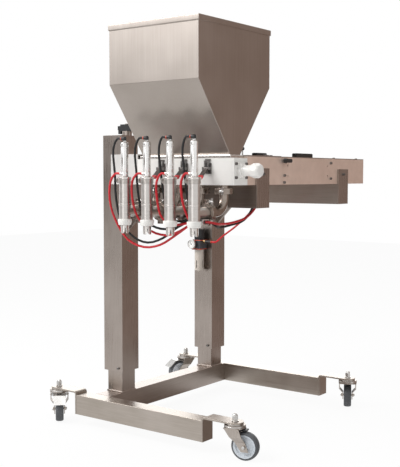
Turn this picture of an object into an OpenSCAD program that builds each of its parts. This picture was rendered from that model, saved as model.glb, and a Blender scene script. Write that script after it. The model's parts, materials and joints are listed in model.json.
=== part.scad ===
/* [Stand] */
// Height of the caster mounting faces above the floor
caster_h = 124.5; // [118:0.5:150]
// Width of the feet, front to back
foot_w = 60; // [54:1:80]
// Height of the foot and cross bar tubes
foot_h = 76; // [60:1:90]
// Wall of the foot and cross bar tubes
foot_wall = 3; // [2:0.5:5]
// Length of the feet to the right of the cross bar
foot_right = 481; // [400:1:600]
// Length of the feet to the left of the right face of the cross bar
foot_left = 122; // [100:1:200]
// Front to back distance between the two feet
feet_pitch = 820; // [800:1:960]
// Width of the cross bar
cross_w = 75; // [75:1:90]
// Thickness of the caster bracket plates
bracket_t = 6; // [4:0.5:8]
// Height of the brackets above the tops of the feet
bracket_rise = 12.5; // [10:0.5:20]
// Outside radius of the bracket bend
bracket_bend = 12; // [10:1:16]
// Distance from the end of a foot to the caster stem
bracket_reach = 122; // [118:1:150]

/* [Casters] */
// Diameter of the wheels
wheel_d = 98; // [84:1:100]
// Width of the wheels
wheel_w = 31; // [24:1:34]
// Distance of the wheel axle behind the stem
trail = 38; // [34:1:42]
// Diameter of the swivel head
head_d = 74; // [64:1:80]
// Thickness of the swivel head
head_t = 12; // [8:1:14]
// Diameter of the stem
stem_d = 12; // [10:1:14]
// Diameter of the wheel axle
axle_d = 8; // [6:1:10]
// Width across the flats of the domed nuts
nut_af = 19; // [17:1:24]
// Height of the domed nut with its lock nut and washer
nut_h = 28; // [22:1:34]
// Thickness of the fork legs
leg_t = 3.5; // [2.5:0.5:5]
// Diameter of the pedal pin
pedal_pin_d = 5; // [4:0.5:6]
// Reach of the brake pedals of the left casters beyond their pins
pedal_reach = 78; // [74:1:84]
// Reach of the short brake tabs of the right casters beyond their pins
tab_reach = 26; // [20:1:30]
// Width of the brake pedals of the left casters
pedal_w = 48; // [40:1:54]
// Thickness of the brake pedal plate
pedal_t = 3.5; // [2.5:0.5:5]
// Direction of the front right caster, from the right toward the back
angle_fr = 13.6; // [-180:0.1:180]
// Direction of the front left caster
angle_fl = -44; // [-180:0.1:180]
// Direction of the rear left caster
angle_rl = -113.5; // [-180:0.1:180]
// Direction of the rear right caster
angle_rr = 117.4; // [-180:0.1:180]

/* [Columns] */
// Side of the square inner posts
post_w = 75; // [68:1:77]
// Wall of the inner posts
post_wall = 3; // [2:0.5:4]
// Drop of the post tops below the sleeve tops
post_drop = 68; // [62:1:200]
// Side of the square outer sleeves
sleeve_w = 95; // [92:1:105]
// Wall of the outer sleeves
sleeve_wall = 4; // [3:0.5:5]
// Height of the bottom of the sleeves above the floor
sleeve_z = 202; // [180:1:260]
// Height of the top of the sleeves above the floor
sleeve_top = 1118; // [1112:1:1180]
// Thickness of the plate that closes the top of a sleeve
cap_t = 6; // [4:0.5:8]
// Distance of the front column centre behind the front of the stand
column_1_y = 169; // [160:1:190]
// Distance of the rear column centre behind the front of the stand
column_2_y = 756; // [700:1:760]
// Height of one guide pad
pad_h = 60; // [30:1:80]
// Height of the upper guide pads above the bottom of the sleeve
pad_rise = 440; // [300:1:480]
// Side of the weld collar round the foot of a post
collar_w = 82; // [80:1:90]
// Height of the weld collar
collar_h = 5; // [3:1:8]

/* [Lift] */
// Bore of the lift cylinders
lift_bore = 50; // [40:1:52]
// Wall of the lift cylinders
lift_wall = 3; // [2:0.5:4]
// Length of the lift cylinders
lift_len = 430; // [420:1:480]
// Diameter of the lift rods
lift_rod_d = 20; // [14:1:24]
// Travel of the head downward
lift_down = 50; // [20:1:60]
// Diameter of the lever boss on the front column
boss_d = 40; // [30:1:44]
// Height of the lever boss
boss_h = 18; // [12:1:24]
// Diameter of the lever pin
lever_pin_d = 10; // [8:1:12]
// Height of the lift lever block
lever_h = 26; // [18:1:34]
// Width of the lift lever block
lever_w = 28; // [20:1:34]

/* [Head frame] */
// Height of the tops of the support arms above the floor
deck_z = 931.5; // [900:0.5:960]
// Side of the square support arms
arm_w = 80; // [60:1:90]
// Wall of the support arms
arm_wall = 4; // [3:0.5:6]
// Distance of the right end of the drive box from the cross bar
box_x1 = 616; // [600:1:680]
// Width of the drive box and manifold block along the spouts
box_w = 420; // [410:1:450]
// Thickness of the end plates of the arms
end_plate_t = 6; // [4:0.5:10]
// Height of the end plate tab above the arm
tab_h = 57.5; // [40:0.5:60]
// Leg length of the gussets
gusset_l = 95; // [60:1:120]
// Thickness of the gussets
gusset_t = 10; // [6:1:12]
// Depth of the drive box, front to back
box_d = 862; // [800:1:900]
// Height of the drive box with its cover
box_h = 100; // [96:1:110]
// Sheet thickness of the drive box
sheet = 3; // [2:0.5:4]
// Depth of the front cover of the drive box
front_cover_d = 217; // [180:1:230]
// Extra thickness of the front cover
front_cover_step = 1.5; // [0.5:0.5:2]
// Length of the black grip block on the rear cover
cover_handle_l = 120; // [80:1:140]
// Height of the black grip block on the rear cover
cover_handle_h = 14; // [8:1:20]

/* [Manifold] */
// Depth of the manifold block, front to back
block_d = 80; // [76:1:90]
// Height of the manifold block
block_h = 80; // [76:1:84]
// Thickness of the plate on top of the block
plate_t = 10.5; // [6:0.5:12]
// Distance between neighbouring lanes
pitch = 100; // [96:1:103]
// Distance of the first lane from the left end of the block
lane_in = 51; // [46:1:56]
// Height of the valve core axis above the bottom of the block
core_rise = 48.5; // [44:0.5:50]
// Diameter of the valve core
core_d = 46; // [40:1:48]
// Diameter of the product ports
port_d = 32; // [24:1:34]
// Diameter of the passages in the valve core
passage_d = 30; // [20:1:32]
// Length of the valve housing
housing_l = 130; // [110:1:140]
// Height of the valve housing
housing_h = 108.5; // [100:0.5:116]
// Wall of the valve housing
housing_wall = 5; // [3:0.5:8]
// Diameter of the valve shaft in the housing
shaft_d = 20; // [14:1:24]
// Diameter of the handle flange
handle_flange_d = 48; // [44:1:54]
// Thickness of the handle flange
handle_flange_t = 12; // [8:1:16]
// Diameter of the handle neck
handle_neck_d = 36; // [28:1:40]
// Diameter of the handle knob
handle_knob_d = 50; // [42:1:58]
// Thickness of the handle knob
handle_knob_t = 27; // [20:1:32]
// Distance of the end of the handle knob from the block
handle_reach = 81; // [70:1:90]
// Distance between the draw latches
latch_pitch = 100; // [90:1:110]
// Width of a draw latch
latch_w = 28; // [22:1:34]
// Length of a latch lever
latch_l = 48; // [40:1:54]

/* [Hopper] */
// Length of the hopper along the spouts
hopper_l = 380; // [370:1:395]
// Wall of the hopper
hopper_wall = 3; // [2:0.5:4]
// Depth of the hopper neck, front to back
neck_d = 64; // [56:1:68]
// Height of the hopper flange
flange_t = 10; // [6:1:12]
// Distance of the flange edge outside the hopper
flange_lip = 8; // [6:1:10]
// Front wall of the hopper, ahead of the block
hopper_front = 165; // [130:1:180]
// Back wall of the hopper, behind the front of the block
hopper_back = 252; // [220:1:270]
// Height of the sloped part of the hopper
slope_h = 234; // [200:1:250]
// Height of the upright part of the hopper
upright_h = 202; // [120:1:240]
// Height of the rim band
rim_h = 19; // [12:1:30]
// How far the rim band stands proud
rim_t = 3; // [2:0.5:4]

/* [Spouts] */
// Distance of the spout row ahead of the block
spout_front = 127; // [122:1:140]
// Outside diameter of the spout tubes
tube_d = 40; // [38:1:42]
// Wall of the spout tubes
tube_wall = 2; // [1.5:0.5:3]
// Height of the bottom of the spout tubes above the floor
tube_z = 800; // [792:1:804]
// Length of the spout tubes
tube_len = 137; // [130:1:140]
// Height of the branch axis above the bottom of the tube
branch_rise = 41; // [38:1:46]
// Diameter of the clamped pipe ferrules
ferrule_d = 50; // [46:1:52]
// Thickness of a ferrule
ferrule_t = 6; // [4:0.5:7]
// Distance of the branch joint ahead of the block
joint_front = 54; // [52:1:58]
// Diameter of the white cap nuts
cap_d = 48; // [44:1:52]
// Height of the white cap nuts
cap_h = 21; // [17:1:24]
// Outside diameter of the nozzle tips
nozzle_d = 28; // [25:1:30]
// Bore of the nozzle tips
nozzle_bore = 20; // [14:1:22]
// Length of the nozzle tips below the tube
nozzle_len = 35; // [28:1:45]
// Number of slots in a nozzle tip
nozzle_slots = 4; // [2:1:6]
// Diameter of the spout heads
spout_head_d = 44; // [42:1:48]
// Height of the spout heads
spout_head_h = 22; // [18:1:26]
// Diameter of the hole in the ear of a spout head
ear_hole_d = 8; // [6:0.5:9]
// Outside diameter of the spout air cylinders
air_d = 27; // [26:1:32]
// Bore of the spout air cylinders
air_bore = 25; // [20:1:25]
// Length of the spout air cylinders
air_len = 119; // [110:1:130]
// Diameter of the plunger rods
rod_d = 10; // [8:1:12]

/* [Feed pipes] */
// Outside diameter of the feed pipes
pipe_d = 34; // [30:1:36]
// Wall of the feed pipes
pipe_wall = 2; // [1.5:0.5:3]
// Bend radius of the feed pipes
bend_r = 50; // [46:1:52]
// Outside diameter of the pipe clamps
clamp_d = 64; // [60:1:68]
// Width of the pipe clamps
clamp_w = 20; // [16:1:22]
// Reach of the clamp ears from the pipe axis
clamp_reach = 43; // [40:1:46]

/* [Dosing drive] */
// Bore of the measuring cylinders
dose_bore = 50; // [40:1:54]
// Wall of the measuring cylinders
dose_wall = 4; // [3:0.5:5]
// Length of the measuring cylinders behind the block
dose_len = 224; // [220:1:240]
// Length of the pistons
piston_len = 30; // [24:1:32]
// Diameter of the piston rods
piston_rod_d = 16; // [12:1:20]
// Stroke of the pistons
stroke = 180; // [120:1:186]
// Height of the crosshead bar
crosshead_h = 40; // [30:1:50]
// Thickness of the crosshead bar
crosshead_t = 30; // [20:1:32]
// Bore of the drive cylinder
drive_bore = 80; // [60:1:80]
// Wall of the drive cylinder
drive_wall = 3; // [2:0.5:4]
// Side of the end caps of the drive cylinder
drive_cap_w = 90; // [88:1:93]
// Diameter of the drive rod
drive_rod_d = 20; // [16:1:25]

/* [Air service] */
// Height of the regulator body above the floor
regulator_z = 641; // [600:1:680]
// Width of the regulator body
regulator_w = 46; // [40:1:50]
// Height of the regulator body
regulator_h = 45; // [40:1:50]
// Diameter of the regulator knob
regulator_knob_d = 42; // [36:1:44]
// Height of the regulator knob
regulator_knob_h = 48; // [40:1:54]
// Diameter of the filter bowl
bowl_d = 39.5; // [36:0.5:42]
// Length of the filter bowl
bowl_h = 90; // [70:1:100]
// Diameter of the pressure gauge
gauge_d = 40; // [36:1:50]
// Depth of the pressure gauge
gauge_t = 13; // [10:1:16]
// Diameter of the threaded air inlet
inlet_d = 11.8; // [10:0.1:13]
// Diameter of the air hoses
hose_d = 8; // [6:1:8]

/* [Small parts] */
// Head diameter of the cap screws
screw_head_d = 10; // [8:0.5:11]
// Head height of the cap screws
screw_head_h = 6; // [4:0.5:7]
// Shank diameter of the cap screws
screw_d = 6; // [4:0.5:6]
// Length of the screw shanks
screw_len = 12; // [10:1:16]
// Diameter of the mounting holes in the side of the box
side_hole_d = 6; // [4:0.5:8]
// Length of the wing knob on the side of the box
wing_l = 42; // [34:1:46]
// Height of the wing knob
wing_w = 14; // [10:1:18]
// Running clearance of a shaft in its bore, on the radius
fit = 0.05; // [0.02:0.01:0.1]
// Clearance between separate moving pieces
gap = 0.3; // [0.2:0.1:0.5]

/* [Hidden] */
$fn = 64;
// Length by which a cutting shape passes the face it cuts
cut = 1;

// Levels and lines of the stand
foot_top = caster_h + bracket_t - bracket_rise;
foot_z = foot_top - foot_h;
rear_y = feet_pitch;
column_x = -cross_w / 2;
columns_y = [column_1_y, column_2_y];
stem_right_x = foot_right + bracket_reach;
stem_left_x = -foot_left - bracket_reach;
stem_front_y = foot_w / 2;
stem_rear_y = rear_y + foot_w / 2;
// Corner names: stem x, stem y, direction of the trail
corner_fl = [stem_left_x, stem_front_y, angle_fl];
corner_fr = [stem_right_x, stem_front_y, angle_fr];
corner_rl = [stem_left_x, stem_rear_y, angle_rl];
corner_rr = [stem_right_x, stem_rear_y, angle_rr];
corners = [corner_fl, corner_fr, corner_rl, corner_rr];

// Caster levels
wheel_r = wheel_d / 2;
race_t = 3;
race_d = head_d - 14;
fork_top = caster_h - race_t - gap;
fork_z = fork_top - head_t;
stem_head_t = 5;
stem_head_d = stem_d + 8;
leg_v = wheel_w / 2 + 1.5;
// Legs stand wide at the fork crown and close on the wheel at the axle
leg_top_v = head_d / 2 - 2;
leg_bend_z = wheel_r + 35;
leg_close_z = wheel_r + 15;
pin_u = trail - 18;
pin_z = fork_z - 7.3;
pedal_bend_u = 42;
pedal_drop = 27;
tab_w = 24;
// Fork crown from crown_u0 to crown_u1 along the trail, and how far the legs reach below the axle
crown_u0 = -30;
crown_u1 = 24;
leg_below = 17;

// Levels and lines of the head
box_x0 = box_x1 - box_w;
arm_x0 = column_x + sleeve_w / 2;
box_y0 = block_d;
box_y1 = box_y0 + box_d;
box_top = deck_z + box_h;
tray_top = box_top - sheet;
plate_z = deck_z + block_h;
flange_z = plate_z + plate_t;
neck_z = flange_z + flange_t;
core_y = block_d / 2;
core_z = deck_z + core_rise;
lanes = [for (i = [0:3]) box_x0 + lane_in + i * pitch];
middle_x = (lanes[0] + lanes[3]) / 2;
housing_x0 = box_x0 - housing_l;

// Spout levels
tube_top = tube_z + tube_len;
branch_z = tube_z + branch_rise;
tube_r = tube_d / 2;
tube_in_r = tube_r - tube_wall;
cap_skirt = 15;
cap_z = tube_z + cap_skirt - cap_h;
air_z = tube_top + spout_head_h;
air_top = air_z + air_len;
air_cap_t = 12;
spigot_h = 12;
nozzle_up = 12;
seat_t = 6;

// Feed pipe levels
riser_y = core_y;
bend_y = riser_y - bend_r;
bend_z = branch_z + bend_r;
lower_flange_z = deck_z - 20.5;

// Dosing levels
recess = 6;
dose_y1 = block_d + dose_len;
dose_plate_t = 6;
crosshead_y = dose_y1 + dose_plate_t + 20;
crosshead_end = 30;
piston_y = block_d;
drive_y = crosshead_y + crosshead_t + stroke + 20;
drive_cap_t = 25;
drive_piston_t = 22;
drive_len = drive_piston_t + stroke + 18;

// Hopper lines
hopper_x0 = middle_x + 6 - hopper_l / 2;
hopper_x1 = hopper_x0 + hopper_l;
neck_y0 = (block_d - neck_d) / 2;
neck_y1 = neck_y0 + neck_d;
collar_top = neck_z + 4;
slope_top = collar_top + slope_h;
hopper_top = slope_top + upright_h;

// Air service lines
regulator_x = column_x;
regulator_y1 = column_2_y - sleeve_w / 2 - 6.5;
regulator_y = regulator_y1 - regulator_w / 2;
elbow_z = regulator_z + 36;
gauge_x = regulator_x - 13;
gauge_z = regulator_z + 25;
outlet_tip_x = regulator_x + regulator_w / 2 + 46;

// Screws by place: position and the direction of the head
end_screws = [for (y = [-30, 30], z = [-23, 23]) [box_x1, core_y + y, core_z + z]];
tab_screws = [for (y = columns_y) [box_x1 + end_plate_t, y, deck_z + 37.5]];
side_screws = [for (p = [[315, 8], [316, 33], [660, 21], [660, 81]]) [box_x1, p[0], deck_z + p[1]]];
side_holes = [for (y = [342, 637], z = [31.5, 68.5]) [box_x1, y, deck_z + z]];
rear_screws = [for (x = [24, box_w - 24], z = [20.5, 79.5]) [box_x0 + x, box_y1, deck_z + z]];
cover_screws = [for (y = [box_y1 - 238, box_y1 - 48], x = [10, box_w - 10]) [box_x0 + x, y, box_top]];
front_cover_screws = [for (y = [204, 224, 244]) [box_x1 - 10, y, box_top + front_cover_step]];
clamp_z = sleeve_z + 13;
clamp_x = column_x + 26;
knob_place = [box_x1, 322, deck_z + 85.5];
knob_pin_d = 8;

// The origin is the middle of the outline at floor level, hoses left out
pedal_tips = [for (c = [corner_fl, corner_rl], s = [-1, 1])
    [c[0] + (pin_u + pedal_reach) * cos(c[2]) - s * pedal_w / 2 * sin(c[2]),
        c[1] + (pin_u + pedal_reach) * sin(c[2]) + s * pedal_w / 2 * cos(c[2])]];
outline_left = min(concat([for (t = pedal_tips) t[0]], [stem_left_x - head_d / 2]));
outline_right = max(concat([for (t = pedal_tips) t[0]], [box_x1 + handle_reach]));
outline_front = min(concat([for (t = pedal_tips) t[1]], [-hopper_front - rim_t]));
outline_back = max(concat([for (t = pedal_tips) t[1]], [box_y1 + screw_head_h]));
origin_x = (outline_left + outline_right) / 2;
origin_y = (outline_front + outline_back) / 2;

// Hose routes by chosen points, from the fitting on the air cylinder to the distributor
air_port_x = 22;
elbow_r = 6.5;
air_port_z = air_z + 11;
elbow_x = 16;
top_elbow_z = air_top + 12;
manifold_x = lanes[3] - tube_r + 3;
manifold_w = tube_d - 6;
manifold_y = -spout_front + cap_d / 2 + 1;
manifold_d = 36;
manifold_z = branch_z - tube_r - 18;
in_pitch = hose_d + 1;
in_y = [for (i = [0:3]) manifold_y + manifold_d / 2 + (1.5 - i) * in_pitch];
in_low = manifold_z + (18 - in_pitch) / 2;
in_high = in_low + in_pitch;
out_y = [for (s = [-1, 1]) manifold_y + manifold_d / 2 + s * 6];
out_z = manifold_z + 9;
drop_y = column_1_y + 91;
drop_z = deck_z - 12;
supply = [410, 512];

red_routes = [
    [[lanes[0] - air_port_x, -spout_front, air_port_z], [205, -127, 970], [182, -127, 945],
        [176, -126, 880], [190, -116, 815], [235, -100, 742], [300, -88, 717], [365, -80, 727],
        [425, -75, 760], [490, -72, 800], [510, in_y[0], in_low], [manifold_x, in_y[0], in_low]],
    [[lanes[1] - air_port_x, -spout_front, air_port_z], [305, -127, 970], [282, -127, 945],
        [280, -124, 880], [290, -108, 820], [335, -94, 775], [400, -88, 762], [455, -84, 778],
        [510, in_y[1], in_low], [manifold_x, in_y[1], in_low]],
    [[lanes[2] - air_port_x, -spout_front, air_port_z], [408, -127, 970], [390, -127, 945],
        [388, -122, 880], [395, -106, 822], [430, -92, 800], [505, in_y[2], in_low],
        [manifold_x, in_y[2], in_low]],
    [[lanes[3] - air_port_x, -spout_front, air_port_z], [510, -127, 970], [494, -127, 945],
        [492, -118, 880], [498, -100, 830], [514, in_y[3], in_low], [manifold_x, in_y[3], in_low]],
    [[manifold_x + manifold_w, out_y[0], out_z], [584, -94, 812], [594, -66, 806], [572, 0, 802],
        [560, 80, 804], [556, 170, 820], [550, 240, 860], [550, drop_y, 895], [550, drop_y, drop_z]],
    [[outlet_tip_x, regulator_y, elbow_z], [50, regulator_y, elbow_z], [98, 672, 708], [163, 655, 744],
        [225, 630, 780], [300, 590, 825], [370, 545, 870], [supply[0], supply[1], 900],
        [supply[0], supply[1], drop_z]]
];
black_routes = [
    [[lanes[0] - elbow_x, -spout_front, top_elbow_z], [214, -127, 1090], [193, -125, 1055],
        [188, -112, 970], [190, -108, 880], [205, -96, 800], [250, -82, 748], [305, -74, 732],
        [370, -70, 750], [430, -68, 788], [505, in_y[0], in_high], [manifold_x, in_y[0], in_high]],
    [[lanes[1] - elbow_x, -spout_front, top_elbow_z], [314, -127, 1090], [293, -125, 1055],
        [288, -112, 970], [290, -104, 890], [305, -92, 815], [350, -82, 786], [410, -78, 784],
        [500, in_y[1], in_high], [manifold_x, in_y[1], in_high]],
    [[lanes[2] - elbow_x, -spout_front, top_elbow_z], [414, -127, 1090], [398, -125, 1055],
        [396, -112, 970], [398, -98, 890], [408, -92, 830], [450, -89, 811],
        [505, in_y[2], in_high], [manifold_x, in_y[2], in_high]],
    [[lanes[3] - elbow_x, -spout_front, top_elbow_z], [514, -127, 1090], [498, -125, 1055],
        [496, -112, 970], [500, -100, 890], [506, -96, 840], [518, in_y[3], in_high],
        [manifold_x, in_y[3], in_high]],
    [[manifold_x + manifold_w, out_y[1], out_z], [576, -78, 811], [578, -50, 798], [558, 0, 790],
        [546, 80, 794], [542, 170, 808], [534, 236, 850], [534, drop_y - 10, 890],
        [534, drop_y - 10, drop_z]]
];

// Moves a shape drawn on the machine's own lines to the origin in the middle of the floor outline
module placed() {
    translate([-origin_x, -origin_y, 0]) children();
}

module block(from, to) {
    translate(from) cube(to - from);
}

module rod_x(x0, x1, y, z, r) {
    translate([x0, y, z]) rotate([0, 90, 0]) cylinder(h = x1 - x0, r = r);
}

module rod_y(x, y0, y1, z, r) {
    translate([x, y1, z]) rotate([90, 0, 0]) cylinder(h = y1 - y0, r = r);
}

module rod_z(x, y, z0, z1, r) {
    translate([x, y, z0]) cylinder(h = z1 - z0, r = r);
}

// Square tube that stands upright on its centre line
module square_tube(x, y, z0, z1, w, wall) {
    difference() {
        block([x - w / 2, y - w / 2, z0], [x + w / 2, y + w / 2, z1]);
        block([x - w / 2 + wall, y - w / 2 + wall, z0 - cut], [x + w / 2 - wall, y + w / 2 - wall, z1 + cut]);
    }
}

// Cap screw with its head outward along +X, with room for its shank when grown
module screw_x(place, grow = 0) {
    rod_x(place[0] - screw_len - grow, place[0] + cut * min(grow, 1), place[1], place[2], screw_d / 2 + grow);
    if (grow == 0)
        rod_x(place[0], place[0] + screw_head_h, place[1], place[2], screw_head_d / 2);
}

module screw_back(place, grow = 0) {
    rod_y(place[0], place[1] - screw_len - grow, place[1] + cut * min(grow, 1), place[2], screw_d / 2 + grow);
    if (grow == 0)
        rod_y(place[0], place[1], place[1] + screw_head_h, place[2], screw_head_d / 2);
}

module screw_front(place, grow = 0) {
    rod_y(place[0], place[1] - cut * min(grow, 1), place[1] + screw_len + grow, place[2], screw_d / 2 + grow);
    if (grow == 0)
        rod_y(place[0], place[1] - screw_head_h, place[1], place[2], screw_head_d / 2);
}

module screw_top(place, grow = 0) {
    rod_z(place[0], place[1], place[2] - screw_len - grow, place[2] + cut * min(grow, 1), screw_d / 2 + grow);
    if (grow == 0)
        rod_z(place[0], place[1], place[2], place[2] + screw_head_h / 2, screw_head_d / 2);
}

// Stand

module foot_tube(y) {
    difference() {
        block([-foot_left, y, foot_z], [foot_right, y + foot_w, foot_top]);
        block([-foot_left - cut, y + foot_wall, foot_z + foot_wall],
            [foot_right + cut, y + foot_w - foot_wall, foot_top - foot_wall]);
    }
}

module front_foot() {
    color("#d8d6d2") placed() foot_tube(0);
}

module rear_foot() {
    color("#d8d6d2") placed() foot_tube(rear_y);
}

module cross_bar() {
    color("#cfccc8") placed() difference() {
        block([-cross_w, foot_w, foot_z], [0, rear_y, foot_top]);
        block([-cross_w + foot_wall, foot_w - cut, foot_z + foot_wall],
            [-foot_wall, rear_y + cut, foot_top - foot_wall]);
    }
}

// Bent plate from the end of a foot to its caster, drawn toward +X from the end of the foot
module bracket() {
    bend = min(bracket_bend, foot_w / 4);
    top = caster_h + bracket_t;
    difference() {
        union() {
            translate([0, foot_w, 0]) rotate([90, 0, 0]) linear_extrude(foot_w) {
                translate([0, foot_z]) square([bracket_t, top - bend - foot_z]);
                translate([bend, top - bend]) difference() {
                    circle(bend);
                    circle(bend - bracket_t);
                    translate([0, -bend - cut]) square([bend + cut, 2 * bend + 2 * cut]);
                    translate([-bend - cut, -bend - cut]) square([bend + 2 * cut, bend + cut]);
                }
            }
            block([bend, 0, caster_h], [bracket_reach, foot_w, top]);
            rod_z(bracket_reach, foot_w / 2, caster_h, top, foot_w / 2);
        }
        rod_z(bracket_reach, foot_w / 2, caster_h - cut, top + cut, stem_d / 2);
    }
}

module caster_brackets() {
    color("#d2d0cc") placed() for (y = [0, rear_y]) {
        translate([foot_right, y, 0]) bracket();
        translate([-foot_left, y, 0]) mirror([1, 0, 0]) bracket();
    }
}

// Stem with its race plate below the bracket and its domed nut above
module caster_nut() {
    seat = caster_h + bracket_t;
    washer_t = 2.5;
    dome_r = nut_af / 2 - 0.5;
    hex_h = nut_h - washer_t - dome_r;
    rod_z(0, 0, fork_z - gap, seat, stem_d / 2);
    rod_z(0, 0, fork_z - gap - stem_head_t, fork_z - gap, stem_head_d / 2);
    rod_z(0, 0, caster_h - race_t, caster_h, race_d / 2);
    rod_z(0, 0, seat, seat + washer_t, nut_af / 2 + 3);
    translate([0, 0, seat + washer_t]) cylinder(h = hex_h, r = nut_af / sqrt(3), $fn = 6);
    translate([0, 0, seat + washer_t + hex_h]) difference() {
        sphere(dome_r);
        translate([-nut_af, -nut_af, -2 * nut_af]) cube(2 * nut_af);
    }
}

module caster_nuts() {
    color("#d9d9d6") placed() for (c = corners) translate([c[0], c[1], 0]) caster_nut();
}

module inner_posts() {
    color("#d4d2ce") placed() for (y = columns_y) {
        square_tube(column_x, y, foot_top, sleeve_top - post_drop, post_w, post_wall);
        difference() {
            block([column_x - collar_w / 2, y - collar_w / 2, foot_top],
                [column_x + collar_w / 2, y + collar_w / 2, foot_top + collar_h]);
            block([column_x - post_w / 2, y - post_w / 2, foot_top - cut],
                [column_x + post_w / 2, y + post_w / 2, foot_top + collar_h + cut]);
        }
    }
}

// Lift cylinder that stands inside each post
lift_base_t = 15;
lift_head_t = 20;
lift_piston_t = 15;
lift_foot_z = foot_top + lift_base_t;
lift_head_z = foot_top + lift_len - lift_head_t;
lift_out_r = lift_bore / 2 + lift_wall;

module lift_cylinders() {
    color("#b9bcc0") placed() for (y = columns_y) difference() {
        union() {
            rod_z(column_x, y, foot_top, foot_top + lift_len, lift_out_r);
            block([column_x - lift_out_r, y - lift_out_r, foot_top],
                [column_x + lift_out_r, y + lift_out_r, lift_foot_z]);
        }
        rod_z(column_x, y, lift_foot_z, lift_head_z, lift_bore / 2);
        rod_z(column_x, y, lift_head_z - cut, foot_top + lift_len + cut, lift_rod_d / 2 + fit);
    }
}

module lift_rods() {
    piston_z = lift_foot_z + lift_down + 2;
    color("#dfe1e3") placed() for (y = columns_y) {
        rod_z(column_x, y, piston_z, sleeve_top - cap_t, lift_rod_d / 2);
        rod_z(column_x, y, piston_z, piston_z + lift_piston_t, lift_bore / 2 - fit);
    }
}

// Casters, drawn with the stem at the origin and the wheel toward +X

module at_corner(c) {
    placed() translate([c[0], c[1], 0]) rotate([0, 0, c[2]]) children();
}

// A leg seen from its side and from behind: a strap that leans back to the axle and bends inward
module fork_leg(s) {
    crown_z = fork_z + leg_t;
    low_z = wheel_r - leg_below;
    low_v = leg_v + leg_t;
    intersection() {
        translate([0, low_v + head_d, 0]) rotate([90, 0, 0]) linear_extrude(2 * (low_v + head_d))
            polygon([[crown_u0, crown_z], [crown_u1, crown_z], [trail + 18, low_z], [trail - 10, low_z]]);
        translate([-head_d, 0, 0]) rotate([90, 0, 90]) linear_extrude(3 * head_d)
            polygon([for (p = [[leg_top_v, crown_z], [leg_top_v, leg_bend_z], [low_v, leg_close_z],
                [low_v, low_z - cut], [leg_v, low_z - cut], [leg_v, leg_close_z],
                [leg_top_v - leg_t, leg_bend_z], [leg_top_v - leg_t, crown_z]]) [s * p[0], p[1]]]);
    }
}

module fork() {
    axle_half = leg_v + leg_t;
    color("#c6c9cc") difference() {
        union() {
            rod_z(0, 0, fork_z, fork_top, head_d / 2);
            block([crown_u0, -leg_top_v, fork_z], [crown_u1, leg_top_v, fork_z + leg_t]);
            for (s = [-1, 1]) fork_leg(s);
            rod_y(trail, -axle_half - 7, axle_half + 7, wheel_r, axle_d / 2);
            for (s = [-axle_half - 5, axle_half])
                translate([trail, s + 5, wheel_r]) rotate([90, 0, 0]) cylinder(h = 5, r = 7.5, $fn = 6);
            rod_y(pin_u, -leg_top_v - 1.5, leg_top_v + 1.5, pin_z, pedal_pin_d / 2);
        }
        rod_z(0, 0, fork_z - cut, fork_top + cut, stem_d / 2 + fit);
    }
}

module fork_fl() { at_corner(corner_fl) fork(); }
module fork_fr() { at_corner(corner_fr) fork(); }
module fork_rl() { at_corner(corner_rl) fork(); }
module fork_rr() { at_corner(corner_rr) fork(); }

// Tyre and hub in one turned shape: bore, hub boss, web and tread
module wheel() {
    w = wheel_w / 2;
    boss_r = axle_d / 2 + 8;
    rim_r = wheel_r - 15;
    web = 5;
    color("#7d8790") translate([trail, 0, wheel_r]) rotate([90, 0, 0]) rotate_extrude()
        polygon([[axle_d / 2 + fit, -w], [boss_r, -w], [boss_r, -web], [rim_r, -web], [rim_r, -w],
            [wheel_r - 3, -w], [wheel_r, -w + 4], [wheel_r, w - 4], [wheel_r - 3, w], [rim_r, w],
            [rim_r, web], [boss_r, web], [boss_r, w], [axle_d / 2 + fit, w]]);
}

module wheel_fl() { at_corner(corner_fl) wheel(); }
module wheel_fr() { at_corner(corner_fr) wheel(); }
module wheel_rl() { at_corner(corner_rl) wheel(); }
module wheel_rr() { at_corner(corner_rr) wheel(); }

// Brake pedals on a pin above the tyre: a bent plate on the left casters, a short tab on the right ones
module pedal(reach, w) {
    half = leg_top_v - leg_t - gap;
    color("#3b3e42") translate([pin_u, 0, pin_z]) difference() {
        union() {
            rod_y(0, -half, half, 0, pedal_pin_d / 2 + 2.2);
            if (reach > pedal_bend_u)
                translate([0, w / 2, 0]) rotate([90, 0, 0]) linear_extrude(w)
                    polygon([[0, 0], [pedal_bend_u, 0], [reach - pedal_t, -pedal_drop],
                        [reach, -pedal_drop + 2], [pedal_bend_u + 2, pedal_t], [0, pedal_t]]);
            else
                block([0, -w / 2, 0], [reach, w / 2, pedal_t + 1.5]);
        }
        rod_y(0, -half - cut, half + cut, 0, pedal_pin_d / 2 + fit);
    }
}

module pedal_fl() { at_corner(corner_fl) pedal(pedal_reach, pedal_w); }
module pedal_fr() { at_corner(corner_fr) pedal(tab_reach, tab_w); }
module pedal_rl() { at_corner(corner_rl) pedal(pedal_reach, pedal_w); }
module pedal_rr() { at_corner(corner_rr) pedal(tab_reach, tab_w); }

// Head frame

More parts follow.
